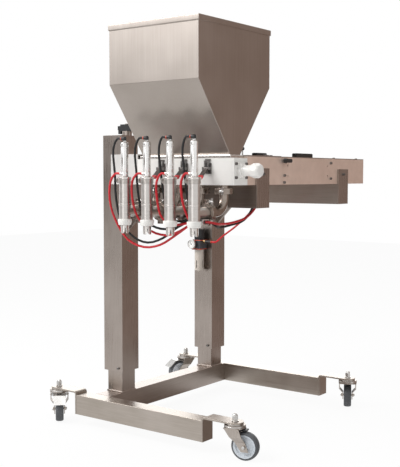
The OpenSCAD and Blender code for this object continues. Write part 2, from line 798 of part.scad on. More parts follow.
module column_sleeves() {
    color("#cdc9c4") placed() {
        for (y = columns_y) difference() {
            union() {
                square_tube(column_x, y, sleeve_z, sleeve_top, sleeve_w, sleeve_wall);
                block([column_x - sleeve_w / 2 + cut, y - sleeve_w / 2 + cut, sleeve_top - cap_t],
                    [column_x + sleeve_w / 2 - cut, y + sleeve_w / 2 - cut, sleeve_top]);
            }
            rod_y(clamp_x, y - sleeve_w / 2 - cut, y, clamp_z, screw_d / 2 + fit);
        }
        rod_z(lever_x, lever_y, sleeve_top, sleeve_top + boss_h, boss_d / 2);
        rod_z(lever_x, lever_y, sleeve_top + boss_h - cut, sleeve_top + boss_h + gap + lever_h + gap + 3,
            lever_pin_d / 2);
        rod_z(lever_x, lever_y, sleeve_top + boss_h + 2 * gap + lever_h,
            sleeve_top + boss_h + 2 * gap + lever_h + 3, lever_pin_d / 2 + 3);
    }
}

lever_x = column_x + 13.5;
lever_y = column_1_y + 24;

// Black lever on the front column, with its grip hanging outside the boss
module lift_lever() {
    z0 = sleeve_top + boss_h + gap;
    color("#1d1e20") placed() translate([lever_x, lever_y, 0]) difference() {
        union() {
            block([-24, -lever_w / 2, z0], [26, lever_w / 2, z0 + lever_h]);
            rod_z(26, 0, z0, z0 + lever_h, lever_w / 2);
            block([-37, -lever_w / 2, z0 + 4], [-24, lever_w / 2, z0 + lever_h - 6]);
            block([-37, -lever_w / 2 + 3, z0 - 11], [-boss_d / 2 - 3, lever_w / 2 - 3, z0 + 5]);
        }
        rod_z(0, 0, z0 - cut, z0 + lever_h + cut, lever_pin_d / 2 + fit);
    }
}

// Square slide rings between post and sleeve
module guide_pads() {
    color("#e9e7e1") placed() for (y = columns_y, z = [sleeve_z + 30, sleeve_z + pad_rise])
        square_tube(column_x, y, z, z + pad_h, sleeve_w - 2 * sleeve_wall,
            (sleeve_w - 2 * sleeve_wall - post_w) / 2 - gap);
}

module support_arms() {
    color("#c4bdb6") placed() for (y = columns_y) difference() {
        union() {
            translate([arm_x0, y, deck_z - arm_w / 2]) rotate([0, 90, 0])
                linear_extrude(box_x1 - arm_x0) difference() {
                    square(arm_w, center = true);
                    square(arm_w - 2 * arm_wall, center = true);
                }
            block([box_x1, y - arm_w / 2, deck_z - arm_w],
                [box_x1 + end_plate_t, y + arm_w / 2, deck_z + tab_h]);
            translate([arm_x0, y + gusset_t / 2, deck_z - arm_w]) rotate([90, 0, 0])
                linear_extrude(gusset_t) polygon([[0, 0], [gusset_l, 0], [0, -gusset_l]]);
        }
        for (p = tab_screws) screw_x(p, fit);
    }
}

// Drive box

module drive_box() {
    color("#b3a59b") placed() difference() {
        block([box_x0, box_y0, deck_z], [box_x1, box_y1, tray_top]);
        block([box_x0 + sheet, box_y0 + sheet, deck_z + sheet],
            [box_x1 - sheet, box_y1 - sheet, tray_top + cut]);
        for (x = lanes)
            rod_y(x, box_y0 - cut, box_y0 + sheet + cut, core_z, dose_bore / 2 + dose_wall + fit);
        for (p = tab_screws) screw_x(p, fit);
        for (p = side_screws) screw_x(p, fit);
        for (p = rear_screws) screw_back(p, fit);
        for (p = side_holes)
            rod_x(p[0] - sheet - cut, p[0] + cut, p[1], p[2], side_hole_d / 2);
        rod_x(box_x1 - sheet - cut, box_x1 + cut, knob_place[1], knob_place[2], knob_pin_d / 2 + fit);
    }
}

// Front cover and rear cover with its grip block
module box_covers() {
    joint_y = box_y0 + front_cover_d;
    grip_x = box_x1 - 60;
    grip_w = 20;
    grip_top = box_top + cover_handle_h;
    rear_grip_y = box_y0 + 390;
    front_grip_y = box_y0 + 117;
    front_grip_l = 66;
    color("#c9c3bd") placed() {
        difference() {
            union() {
                block([box_x0, box_y0, tray_top], [box_x1, joint_y - 1, box_top + front_cover_step]);
                block([box_x0, joint_y, tray_top], [box_x1, box_y1, box_top]);
            }
            for (p = cover_screws) screw_top(p, fit);
            for (p = front_cover_screws) screw_top(p, fit);
        }
        block([grip_x, rear_grip_y, box_top], [grip_x + grip_w, rear_grip_y + cover_handle_l, grip_top]);
        block([grip_x, front_grip_y, box_top + front_cover_step],
            [grip_x + grip_w, front_grip_y + front_grip_l, grip_top - 4]);
    }
}

// Quarter-turn wing knob with its pin and catch inside the box wall
module box_knob() {
    x = knob_place[0] + gap;
    half = wing_l / 2 - wing_w / 2;
    color("#17181a") placed() translate([0, knob_place[1], knob_place[2]]) {
        rod_x(x, x + 5, 0, 0, wing_w / 2 + 2);
        block([x + 5, -half, -wing_w / 2], [x + 18, half, wing_w / 2]);
        for (s = [-1, 1]) rod_x(x + 5, x + 18, s * half, 0, wing_w / 2);
        rod_x(knob_place[0] - sheet - 6, x, 0, 0, knob_pin_d / 2);
        block([knob_place[0] - sheet - 6, -wing_w / 2, -knob_pin_d / 2],
            [knob_place[0] - sheet - 1, wing_w / 2, knob_pin_d / 2]);
    }
}

// Manifold and rotary valve

module manifold_block() {
    color("#eceae4") placed() difference() {
        block([box_x0, 0, deck_z], [box_x1, block_d, plate_z]);
        rod_x(box_x0 - cut, box_x1 + cut, core_y, core_z, core_d / 2 + fit);
        for (x = lanes) {
            rod_z(x, core_y, core_z, plate_z + cut, port_d / 2);
            rod_z(x, core_y, deck_z - cut, core_z, port_d / 2);
            rod_y(x, core_y, block_d + cut, core_z, port_d / 2);
            rod_y(x, block_d - recess, block_d + cut, core_z, dose_bore / 2 + dose_wall + fit);
        }
        for (p = end_screws) screw_x(p, fit);
        for (p = latch_screws) screw_front(p, fit);
    }
}

module top_plate() {
    color("#f1efea") placed() difference() {
        block([box_x0, 0, plate_z], [box_x1, block_d - gap, flange_z]);
        for (x = lanes)
            rod_z(x, core_y, plate_z - cut, flange_z + cut, port_d / 2);
    }
}

// White housing at the left end, with the turning drive of the valve inside
module valve_housing() {
    x1 = box_x0;
    top = deck_z + housing_h;
    w = housing_wall;
    actuator_r = shaft_d / 2 + 18;
    color("#e6e4de") placed() {
        difference() {
            union() {
                difference() {
                    block([housing_x0, 0, deck_z], [x1, block_d, top]);
                    block([housing_x0 + w, w, deck_z + w], [x1 + cut, block_d - w, top - w]);
                }
                rod_x(housing_x0 + w - cut, housing_x0 + w + 18, core_y, core_z, shaft_d / 2 + 8);
            }
            rod_x(housing_x0 + w, x1, core_y, core_z, shaft_d / 2 + fit);
        }
        difference() {
            union() {
                rod_x(housing_x0 + w + 32, housing_x0 + w + 92, core_y, core_z, actuator_r);
                block([housing_x0 + w + 32, core_y - actuator_r + 4, deck_z + w],
                    [housing_x0 + w + 92, core_y + actuator_r - 4, core_z]);
            }
            rod_x(housing_x0, x1, core_y, core_z, shaft_d / 2 + fit);
        }
    }
}

// Core with an angled passage for each lane, open at the top and the back at rest
module valve_core() {
    end_gap = 0.5;
    color("#d9d7d0") placed() difference() {
        union() {
            rod_x(box_x0 + end_gap, box_x1 + end_gap, core_y, core_z, core_d / 2);
            rod_x(housing_x0 + housing_wall + end_gap, box_x0 + end_gap, core_y, core_z, shaft_d / 2);
        }
        for (x = lanes) {
            rod_z(x, core_y, core_z, core_z + core_d, passage_d / 2);
            rod_y(x, core_y, core_y + core_d, core_z, passage_d / 2);
        }
    }
}

module valve_handle() {
    x0 = box_x1 + 0.5;
    x1 = box_x1 + handle_reach;
    knob_r = handle_knob_d / 2;
    color("#f4f3ee") placed() translate([0, core_y, core_z]) {
        rod_x(x0, x0 + handle_flange_t, 0, 0, handle_flange_d / 2);
        rod_x(x0 + handle_flange_t, x1 - handle_knob_t, 0, 0, handle_neck_d / 2);
        translate([x1, 0, 0]) rotate([0, -90, 0]) rotate_extrude() {
            translate([0, 4]) square([knob_r, handle_knob_t - 8]);
            square([knob_r - 4, handle_knob_t]);
            for (z = [4, handle_knob_t - 4]) translate([knob_r - 4, z]) circle(4);
        }
    }
}

// Fasteners

latch_xs = [for (i = [-1:1]) middle_x + 13 + i * latch_pitch];
latch_plate_t = 4;
latch_pin_y = -latch_plate_t - 8;
latch_pin_z = plate_z - 24;
latch_plate_z = plate_z - 42;
latch_screws = [for (x = latch_xs) [x, -latch_plate_t, latch_plate_z + 5.5]];
latch_pin_d = 5;

module socket_screws() {
    color("#4a4a4c") placed() {
        for (p = end_screws) screw_x(p);
        for (p = tab_screws) screw_x(p);
        for (p = side_screws) screw_x(p);
        for (p = rear_screws) screw_back(p);
        for (p = cover_screws) screw_top(p);
        for (p = front_cover_screws) screw_top(p);
        for (p = latch_screws) screw_front(p);
        for (y = columns_y) {
            face = y - sleeve_w / 2;
            rod_y(clamp_x, face - screw_head_h, face, clamp_z, screw_head_d / 2);
            rod_y(clamp_x, face, y - post_w / 2 - gap, clamp_z, screw_d / 2);
        }
    }
}

// Plate with two ears and the fixed catch that bridges block and top plate
module latch_bases() {
    color("#a9acae") placed() for (x = latch_xs) {
        difference() {
            union() {
                block([x - latch_w / 2, -latch_plate_t, latch_plate_z], [x + latch_w / 2, 0, plate_z - 6]);
                for (s = [-1, 1]) {
                    x0 = x + s * (latch_w / 2 - 2) - 2;
                    block([x0, latch_pin_y - 5, latch_pin_z - 5], [x0 + 4, -latch_plate_t, latch_pin_z + 5]);
                }
                rod_x(x - latch_w / 2, x + latch_w / 2, latch_pin_y, latch_pin_z, latch_pin_d / 2);
            }
            for (p = latch_screws) screw_front(p, fit);
        }
        for (s = [-1, 1]) rod_z(x + s * 7, -2, plate_z - 6, plate_z + 3, 1.5);
        block([x - 11, -latch_plate_t, plate_z + 3], [x + 11, 0, plate_z + 8]);
    }
}

// Three levers on one line, each with a barrel on its pin and a grip at the tip
module latch_levers() {
    half = latch_w / 2 - 4 - gap;
    barrel_r = latch_pin_d / 2 + 2.5;
    color("#8e9092") placed() for (x = latch_xs) translate([x, latch_pin_y, latch_pin_z])
        rotate([42, 0, 0]) difference() {
            union() {
                rod_x(-half, half, 0, 0, barrel_r);
                block([-half, -latch_l + 14, -1.5], [half, 0, 1.5]);
                block([-half + 1, -latch_l, -3.5], [half - 1, -latch_l + 14, 3.5]);
            }
            rod_x(-half - cut, half + cut, 0, 0, latch_pin_d / 2 + fit);
        }
}

// Hopper

// Outline of the hopper seen from the end, drawn inward by the wall when asked
module hopper_outline(wall, low, high) {
    front_slope = [neck_y0 + hopper_front, slope_h];
    back_slope = [hopper_back - neck_y1, slope_h];
    front_in = wall * norm(front_slope) / slope_h;
    back_in = wall * norm(back_slope) / slope_h;
    front_low = collar_top + (front_in - wall) * slope_h / front_slope[0];
    front_high = slope_top + (front_in - wall) * slope_h / front_slope[0];
    back_low = collar_top + (back_in - wall) * slope_h / back_slope[0];
    back_high = slope_top + (back_in - wall) * slope_h / back_slope[0];
    polygon([[neck_y0 + wall, low], [neck_y0 + wall, front_low], [-hopper_front + wall, front_high],
        [-hopper_front + wall, high], [hopper_back - wall, high], [hopper_back - wall, back_high],
        [neck_y1 - wall, back_low], [neck_y1 - wall, low]]);
}

module hopper_prism(x0, x1, wall, low, high) {
    translate([x0, 0, 0]) rotate([90, 0, 90]) linear_extrude(x1 - x0) hopper_outline(wall, low, high);
}

module hopper() {
    color("#cfc9c3") placed() difference() {
        union() {
            hopper_prism(hopper_x0, hopper_x1, 0, flange_z + gap, hopper_top);
            block([hopper_x0 - flange_lip, 2, flange_z + gap], [hopper_x1 + flange_lip, block_d - 2, neck_z]);
            block([hopper_x0 - rim_t, -hopper_front - rim_t, hopper_top - rim_h],
                [hopper_x1 + rim_t, hopper_back + rim_t, hopper_top]);
        }
        hopper_prism(hopper_x0 + hopper_wall, hopper_x1 - hopper_wall, hopper_wall,
            flange_z - cut, hopper_top + cut);
    }
}

// Spouts

module at_lanes() {
    placed() for (x = lanes) translate([x, -spout_front, 0]) children();
}

module spout_bodies() {
    joint_y = spout_front - joint_front;
    ring_y = joint_y - ferrule_t;
    color("#d0cfcc") at_lanes() difference() {
        union() {
            rod_z(0, 0, tube_z, tube_top, tube_r);
            rod_y(0, 0, joint_y, branch_z, tube_r);
            rod_y(0, ring_y, joint_y, branch_z, ferrule_d / 2);
        }
        rod_z(0, 0, tube_z - cut, tube_top + cut, tube_in_r);
        rod_y(0, 0, joint_y + cut, branch_z, tube_in_r);
    }
}

module spout_caps() {
    color("#efeeea") at_lanes() rotate_extrude() {
        translate([nozzle_d / 2 + 0.1, cap_z]) square([cap_d / 2 - nozzle_d / 2 - 0.1, cap_h - cap_skirt]);
        translate([tube_r + fit, tube_z]) square([cap_d / 2 - tube_r - fit, cap_skirt]);
    }
}

module nozzle_tips() {
    slot_w = 3;
    slot_h = 20;
    neck_step = 1;
    bottom = tube_z - nozzle_len;
    color("#b7b8b8") at_lanes() difference() {
        union() {
            rod_z(0, 0, bottom, cap_z, nozzle_d / 2);
            rod_z(0, 0, cap_z - cut, tube_z + nozzle_up, nozzle_d / 2 - neck_step);
            rod_z(0, 0, tube_z, tube_z + seat_t, tube_in_r - fit);
        }
        rod_z(0, 0, bottom - cut, tube_z + nozzle_up + cut, nozzle_bore / 2);
        for (i = [0:nozzle_slots - 1]) rotate([0, 0, 45 + i * 360 / nozzle_slots])
            block([nozzle_bore / 4, -slot_w / 2, bottom - cut], [nozzle_d, slot_w / 2, bottom + slot_h]);
    }
}

module spout_heads() {
    ear_x = 27;
    ear_w = 18;
    ear_z = tube_top + 9.5;
    color("#bdbcb9") at_lanes() difference() {
        union() {
            rod_z(0, 0, tube_top, air_z, spout_head_d / 2);
            rod_z(0, 0, tube_top - spigot_h, tube_top + cut, tube_in_r - fit);
            rod_y(-ear_x, -5, 5, ear_z, ear_w / 2);
            block([-ear_x, -5, ear_z - ear_w / 2], [-spout_head_d / 2 + 4, 5, ear_z + ear_w / 2]);
        }
        rod_z(0, 0, tube_top - spigot_h - cut, air_z + cut, rod_d / 2 + fit);
        rod_y(-ear_x, -5 - cut, 5 + cut, ear_z, ear_hole_d / 2);
    }
}

module air_cylinders() {
    color("#c9cbcd") at_lanes() difference() {
        rod_z(0, 0, air_z, air_top, air_d / 2);
        rod_z(0, 0, air_z - cut, air_top - air_cap_t, air_bore / 2);
    }
}

// Plunger of one spout: tip in the nozzle, rod through the head, piston in the air cylinder
module plunger(lane) {
    tip_h = 27;
    piston_h = 15;
    piston_z = air_z + 6;
    color("#dfe0e0") placed() translate([lanes[lane], -spout_front, 0]) {
        rod_z(0, 0, tube_z + nozzle_up - tip_h, tube_z + nozzle_up, nozzle_bore / 2 - 2 * fit);
        rod_z(0, 0, tube_z + nozzle_up, piston_z, rod_d / 2);
        rod_z(0, 0, piston_z, piston_z + piston_h, air_bore / 2 - fit);
    }
}

module plunger_1() { plunger(0); }
module plunger_2() { plunger(1); }
module plunger_3() { plunger(2); }
module plunger_4() { plunger(3); }

// Feed pipes and clamps

// Clamp ring along +Z over two ferrules that meet at its middle, with two ears along X
module clamp_ring() {
    rotate_extrude() difference() {
        translate([tube_r + 1, -clamp_w / 2]) square([clamp_d / 2 - tube_r - 1, clamp_w]);
        translate([0, -ferrule_t - gap]) square([ferrule_d / 2 + gap, 2 * ferrule_t + 2 * gap]);
    }
    for (s = [-1, 1]) {
        x0 = s > 0 ? clamp_d / 2 - 3 : -clamp_reach;
        x1 = s > 0 ? clamp_reach : -clamp_d / 2 + 3;
        block([x0, -9, -clamp_w / 2 + 3], [x1, 9, clamp_w / 2 - 3]);
    }
}

module pipe_clamps() {
    color("#8f8d8b") placed() for (x = lanes) {
        translate([x, -joint_front, branch_z]) rotate([90, 90, 0]) clamp_ring();
        translate([x, riser_y, lower_flange_z]) rotate([0, 0, 90]) clamp_ring();
    }
}

module feed_pipes() {
    r = pipe_d / 2;
    in_r = r - pipe_wall;
    color("#b9b0a8") placed() for (x = lanes) {
        difference() {
            union() {
                rod_y(x, -joint_front, -joint_front + ferrule_t, branch_z, ferrule_d / 2);
                rod_y(x, -joint_front, bend_y, branch_z, r);
                translate([x, bend_y, bend_z]) rotate([0, 90, 0]) rotate_extrude(angle = 90)
                    translate([bend_r, 0]) circle(r);
                rod_z(x, riser_y, bend_z, lower_flange_z, r);
                rod_z(x, riser_y, lower_flange_z - ferrule_t, lower_flange_z, ferrule_d / 2);
            }
            rod_y(x, -joint_front - cut, bend_y, branch_z, in_r);
            translate([x, bend_y, bend_z]) rotate([0, 90, 0]) rotate_extrude(angle = 90)
                translate([bend_r, 0]) circle(in_r);
            rod_z(x, riser_y, bend_z, lower_flange_z + cut, in_r);
        }
        difference() {
            union() {
                rod_z(x, riser_y, lower_flange_z, deck_z, r);
                rod_z(x, riser_y, lower_flange_z, lower_flange_z + ferrule_t, ferrule_d / 2);
            }
            rod_z(x, riser_y, lower_flange_z - cut, deck_z + cut, in_r);
        }
    }
}

// Air fittings, distributor, bulkhead fittings and the ball lever on the front cover

module air_fittings() {
    color("#4d5358") placed() {
        for (x = lanes) {
            rod_z(x, -spout_front, air_top, top_elbow_z - 4, elbow_r - 0.5);
            rod_z(x, -spout_front, top_elbow_z - 4, top_elbow_z + elbow_r, elbow_r);
            rod_x(x - elbow_x, x, -spout_front, top_elbow_z, elbow_r - 0.8);
            rod_x(x - air_port_x, x - air_d / 2, -spout_front, air_port_z, elbow_r - 0.8);
        }
        block([manifold_x, manifold_y, manifold_z],
            [manifold_x + manifold_w, manifold_y + manifold_d, branch_z - tube_r]);
        for (p = [[550, drop_y], [534, drop_y - 10], supply])
            rod_z(p[0], p[1], drop_z, deck_z, elbow_r + 0.5);
        rod_x(regulator_x + regulator_w / 2, outlet_tip_x - 10, regulator_y, elbow_z, elbow_r + 0.5);
        rod_x(outlet_tip_x - 22, outlet_tip_x, regulator_y, elbow_z, elbow_r - 0.8);
        rod_z(ball_x, ball_y, box_top + front_cover_step, box_top + front_cover_step + 18, 2.5);
        translate([ball_x, ball_y, box_top + front_cover_step + 23]) sphere(7);
    }
}

ball_x = box_x1 - 41;
ball_y = box_y0 + 30;

// Dosing drive inside the box

module measuring_cylinders() {
    out_r = dose_bore / 2 + dose_wall;
    color("#c3c5c7") placed() difference() {
        union() {
            for (x = lanes) rod_y(x, block_d - recess, dose_y1, core_z, out_r);
            block([box_x0 + sheet, dose_y1, deck_z + sheet],
                [box_x1 - sheet, dose_y1 + dose_plate_t, tray_top - 4]);
        }
        for (x = lanes) {
            rod_y(x, block_d - recess - cut, dose_y1, core_z, dose_bore / 2);
            rod_y(x, dose_y1 - cut, dose_y1 + dose_plate_t + cut, core_z, piston_rod_d / 2 + 0.5);
        }
    }
}

seal_w = 6;
seal_depth = 3;
seal_y = piston_y + 8;

module pistons() {
    color("#e8e6e0") placed() for (x = lanes) difference() {
        union() {
            rod_y(x, piston_y, piston_y + piston_len, core_z, dose_bore / 2 - 2 * fit);
            rod_y(x, piston_y + piston_len - cut, crosshead_y, core_z, piston_rod_d / 2);
        }
        difference() {
            rod_y(x, seal_y, seal_y + seal_w, core_z, dose_bore / 2 + cut);
            rod_y(x, seal_y - cut, seal_y + seal_w + cut, core_z, dose_bore / 2 - seal_depth);
        }
    }
}

module piston_seals() {
    color("#2b2d30") placed() for (x = lanes) difference() {
        rod_y(x, seal_y, seal_y + seal_w, core_z, dose_bore / 2 - fit);
        rod_y(x, seal_y - cut, seal_y + seal_w + cut, core_z, dose_bore / 2 - seal_depth);
    }
}

module crosshead() {
    color("#aeb1b4") placed()
        block([lanes[0] - crosshead_end, crosshead_y, core_z - crosshead_h / 2],
            [lanes[3] + crosshead_end, crosshead_y + crosshead_t, core_z + crosshead_h / 2]);
}

module drive_cylinder() {
    bore_y = drive_y + drive_cap_t;
    rear_cap_y = bore_y + drive_len;
    cap_low = deck_z + sheet;
    w = drive_cap_w / 2;
    color("#b4b8bc") placed() difference() {
        union() {
            block([middle_x - w, drive_y, cap_low], [middle_x + w, bore_y, cap_low + drive_cap_w]);
            rod_y(middle_x, bore_y - cut, rear_cap_y + cut, core_z, drive_bore / 2 + drive_wall);
            block([middle_x - w, rear_cap_y, cap_low],
                [middle_x + w, rear_cap_y + drive_cap_t, cap_low + drive_cap_w]);
        }
        rod_y(middle_x, bore_y, rear_cap_y, core_z, drive_bore / 2);
        rod_y(middle_x, drive_y - cut, bore_y + cut, core_z, drive_rod_d / 2 + fit);
    }
}

module drive_rod() {
    piston_y0 = drive_y + drive_cap_t + 5;
    color("#dddfe1") placed() {
        rod_y(middle_x, crosshead_y + crosshead_t, piston_y0, core_z, drive_rod_d / 2);
        rod_y(middle_x, piston_y0, piston_y0 + drive_piston_t, core_z, drive_bore / 2 - fit);
    }
}

// Filter and pressure regulator on the rear column

module regulator_body() {
    half = regulator_w / 2;
    top = regulator_z + regulator_h;
    color("#3a3d42") placed() difference() {
        union() {
            block([regulator_x - half, regulator_y - half, regulator_z],
                [regulator_x + half, regulator_y1, top]);
            block([regulator_x - half + 3, regulator_y1 - cut, regulator_z + 8],
                [regulator_x + half - 3, column_2_y - sleeve_w / 2, top - 7]);
            rod_z(regulator_x, regulator_y, top - cut, top + 15, 6);
        }
        rod_x(regulator_x - half - cut, regulator_x - half + 12, regulator_y, elbow_z, inlet_d / 2);
    }
}

module regulator_bowl() {
    slot_w = 4;
    wall = 3;
    drain_h = 9;
    low = regulator_z - bowl_h;
    color("#33363b") placed() translate([regulator_x, regulator_y, 0]) {
        difference() {
            rod_z(0, 0, low, regulator_z, bowl_d / 2);
            rod_z(0, 0, low + wall, regulator_z + cut, bowl_d / 2 - wall);
            for (a = [-90, 0]) rotate([0, 0, a])
                block([0, -slot_w / 2, low + 10], [bowl_d, slot_w / 2, low + 44]);
        }
        rod_z(0, 0, low - drain_h, low, 5);
    }
}

module pressure_gauge() {
    face_y = regulator_y - regulator_w / 2;
    stem_l = 6;
    color("#c7c9c9") placed() {
        rod_y(gauge_x, face_y - stem_l, face_y, gauge_z, 5);
        difference() {
            rod_y(gauge_x, face_y - stem_l - gauge_t, face_y - stem_l, gauge_z, gauge_d / 2);
            rod_y(gauge_x, face_y - stem_l - gauge_t - cut, face_y - stem_l - gauge_t + 1.5, gauge_z,
                gauge_d / 2 - 2);
        }
    }
}

module regulator_knob() {
    low = regulator_z + regulator_h + gap;
    color("#1f2124") placed() translate([regulator_x, regulator_y, 0]) difference() {
        union() {
            rod_z(0, 0, low, low + regulator_knob_h - 4, regulator_knob_d / 2);
            rod_z(0, 0, low, low + regulator_knob_h, regulator_knob_d / 2 - 4);
        }
        rod_z(0, 0, low - cut, low + 16, 6 + fit);
    }
}

// Hoses

function unit(v) = v / norm(v);
function turn_at(p, i) = unit(
    i == 0 ? p[1] - p[0] :
    i == len(p) - 1 ? p[i] - p[i - 1] :
    unit(p[i + 1] - p[i]) + unit(p[i] - p[i - 1]));

// Tube with eight sides swept along points; side is a direction that the hose never runs in
module hose(p, side) {
    n = 8;
    r = hose_d / 2;
    rings = [for (i = [0:len(p) - 1]) let (t = turn_at(p, i), a = unit(cross(t, side)), b = cross(t, a))
        for (k = [0:n - 1]) p[i] + r * (cos(k * 360 / n) * a + sin(k * 360 / n) * b)];
    last = (len(p) - 1) * n;
    walls = [for (i = [0:len(p) - 2]) for (k = [0:n - 1]) let (a = i * n + k, b = i * n + (k + 1) % n)
        for (f = [[a, b, b + n], [a, b + n, a + n]]) f];
    ends = concat([for (k = [1:n - 2]) [0, k + 1, k]], [for (k = [1:n - 2]) [last, last + k, last + k + 1]]);
    polyhedron(points = rings, faces = concat([for (f = walls) [f[0], f[2], f[1]]],
        [for (f = ends) [f[0], f[2], f[1]]]));
}

module red_hoses() {
    color("#c1121c") placed() {
        for (i = [0:3]) hose(red_routes[i], [0, 1, 0]);
        hose(red_routes[4], [1, 0.3, 0]);
        hose(red_routes[5], [1, 1, 0.2]);
    }
}

module black_hoses() {
    color("#1b1c1e") placed() {
        for (i = [0:3]) hose(black_routes[i], [0, 1, 0]);
        hose(black_routes[4], [1, 0.3, 0]);
    }
}

front_foot();
rear_foot();
cross_bar();
caster_brackets();
caster_nuts();
inner_posts();
lift_cylinders();
fork_fl();
fork_fr();
fork_rl();
fork_rr();
wheel_fl();
wheel_fr();
wheel_rl();
wheel_rr();
pedal_fl();
pedal_fr();
pedal_rl();
pedal_rr();
column_sleeves();
guide_pads();
support_arms();
lift_rods();
drive_box();
box_covers();
manifold_block();
top_plate();
valve_housing();
socket_screws();
latch_bases();
spout_bodies();
spout_caps();
nozzle_tips();
spout_heads();
air_cylinders();
pipe_clamps();
feed_pipes();
air_fittings();
measuring_cylinders();
drive_cylinder();
regulator_body();
regulator_bowl();
pressure_gauge();
red_hoses();
black_hoses();
lift_lever();
box_knob();
valve_core();
valve_handle();
hopper();
latch_levers();
plunger_1();
plunger_2();
plunger_3();
plunger_4();
pistons();
piston_seals();
crosshead();
drive_rod();
regulator_knob();
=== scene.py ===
# %% [markdown]
# # A batter depositor on a lifting stand
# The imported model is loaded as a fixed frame, and every piece below is built in that frame. The
# frame is in metres, but a machine is drawn in millimetres, so two small helpers do the change.

# %% Load the frame
import json
import math

import bmesh
import bpy
from mathutils import Matrix, Vector


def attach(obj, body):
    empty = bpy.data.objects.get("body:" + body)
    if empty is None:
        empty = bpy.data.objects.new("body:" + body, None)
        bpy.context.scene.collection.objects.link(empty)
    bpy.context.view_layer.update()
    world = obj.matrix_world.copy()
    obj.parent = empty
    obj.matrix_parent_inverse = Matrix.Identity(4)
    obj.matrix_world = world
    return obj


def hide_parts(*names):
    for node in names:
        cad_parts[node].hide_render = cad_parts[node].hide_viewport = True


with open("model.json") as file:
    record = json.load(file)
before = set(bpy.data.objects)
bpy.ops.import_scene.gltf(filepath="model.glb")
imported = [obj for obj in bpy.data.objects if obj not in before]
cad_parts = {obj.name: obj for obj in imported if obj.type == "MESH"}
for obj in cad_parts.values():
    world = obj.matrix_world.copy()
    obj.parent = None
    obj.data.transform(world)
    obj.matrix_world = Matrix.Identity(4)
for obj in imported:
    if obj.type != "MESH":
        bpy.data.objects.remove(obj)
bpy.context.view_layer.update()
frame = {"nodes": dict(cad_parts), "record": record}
ORIGIN = Vector((195.957, 390.0, 0.0))  # the frame's zero, in the machine's millimetres


def at(x, y, z):
    """A place in millimetres from the machine's own lines, in metres in the frame."""
    return (Vector((x, y, z)) - ORIGIN) / 1000


def mm(size):
    return size / 1000


def add_object(name, data):
    made = bpy.data.objects.new(name, data)
    bpy.context.scene.collection.objects.link(made)
    return made


# %% [markdown]
# ## Camera
# The photograph was taken with a fairly long lens from the front right, a little above the
# hopper outlet. The place, the turn and the 80 mm lens were solved from the straight edges of
# the stand, so that the picture and the model share one perspective.

# %% Place the camera
PHOTO_PLACE = (2291.6, -2423.2, 963.1)
PHOTO_ELEVATION, PHOTO_ROLL, PHOTO_AZIMUTH = 3.718, -0.048, 36.85
camera = add_object("camera", bpy.data.cameras.new("camera"))
camera.location = at(*PHOTO_PLACE)
camera.rotation_euler = [math.radians(a) for a in (90 - PHOTO_ELEVATION, PHOTO_ROLL, PHOTO_AZIMUTH)]
camera.data.sensor_fit = "HORIZONTAL"
camera.data.sensor_width = 36.0
camera.data.lens = 80.0
camera.data.clip_end = 50
bpy.context.scene.camera = camera
print("camera:", [round(v, 3) for v in camera.location])

# %% [markdown]
# ## Material tools
# Every material is a tree of nodes. One function adds a node, sets it and links it, so that a
# tree reads from its input to its output. Colours are written as a paint chart gives them, and
# one function turns such a code into the linear values that Cycles works in. A pattern's size
# is given in millimetres, as it would be measured on the piece.

# %% Node and colour helpers
def put(tree, kind, inputs=None, **settings):
    """Adds one node: settings are its properties, inputs its values or other nodes' outputs."""
    made = tree.nodes.new(kind)
    for key, value in settings.items():
        setattr(made, key, value)
    for key, value in (inputs or {}).items():
        if isinstance(value, bpy.types.NodeSocket):
            tree.links.new(value, made.inputs[key])
        else:
            made.inputs[key].default_value = value
    return made


def linear(code):
    """Hex sRGB to linear red, green, blue and full opacity."""
    parts = [int(code[i:i + 2], 16) / 255 for i in (1, 3, 5)]
    light = [p / 12.92 if p < 0.04045 else ((p + 0.055) / 1.055) ** 2.4 for p in parts]
    return (*light, 1.0)


def new_material(name):
    made = bpy.data.materials.new(name)
    made.use_nodes = True
    made.node_tree.nodes.clear()
    return made, made.node_tree


def ramp(tree, fac, stops):
    """Colour ramp whose stops are hex colours or plain grey values."""
    made = put(tree, "ShaderNodeValToRGB", {"Fac": fac})
    while len(made.color_ramp.elements) < len(stops):
        made.color_ramp.elements.new(0.5)
    for element, (place, colour) in zip(made.color_ramp.elements, stops):
        element.position = place
        element.color = linear(colour) if isinstance(colour, str) else (colour, colour, colour, 1)
    return made.outputs["Color"]


def grain(tree, sizes, detail):
    """Noise on Object coordinates: sizes are its cells along X, Y and Z, in millimetres."""
    place = put(tree, "ShaderNodeTexCoord").outputs["Object"]
    cells = [1000 / size for size in sizes]
    mapped = put(tree, "ShaderNodeMapping", {"Vector": place, "Scale": cells}).outputs["Vector"]
    noise = put(tree, "ShaderNodeTexNoise", {"Vector": mapped, "Scale": 1.0, "Detail": detail})
    return noise.outputs["Fac"]


def even(size):
    return (size, size, size)


print("mid grey in linear light:", round(linear("#808080")[0], 3))

# %% [markdown]
# ## Brushed stainless steel
# Sheet and tube of 304 steel come brushed: fine scratches in one direction, which smear each
# highlight across them. An image of scratches would repeat and need unwrapping, so noise is
# stretched along the grain instead. Real scratches are about a tenth of a millimetre wide, too
# fine to show in the render, so they are drawn over two millimetres wide. A slow cloud in colour
# and roughness stands for the marks of handling, and the bump is a fifth of a millimetre deep.

# %% Brushed steel
FINE, LONG = 2.381, 111.1   # width and length of a drawn scratch, in millimetres
HANDLING = 142.9            # size of the cloudy marks of handling
RELIEF = 0.2                # depth of the bump


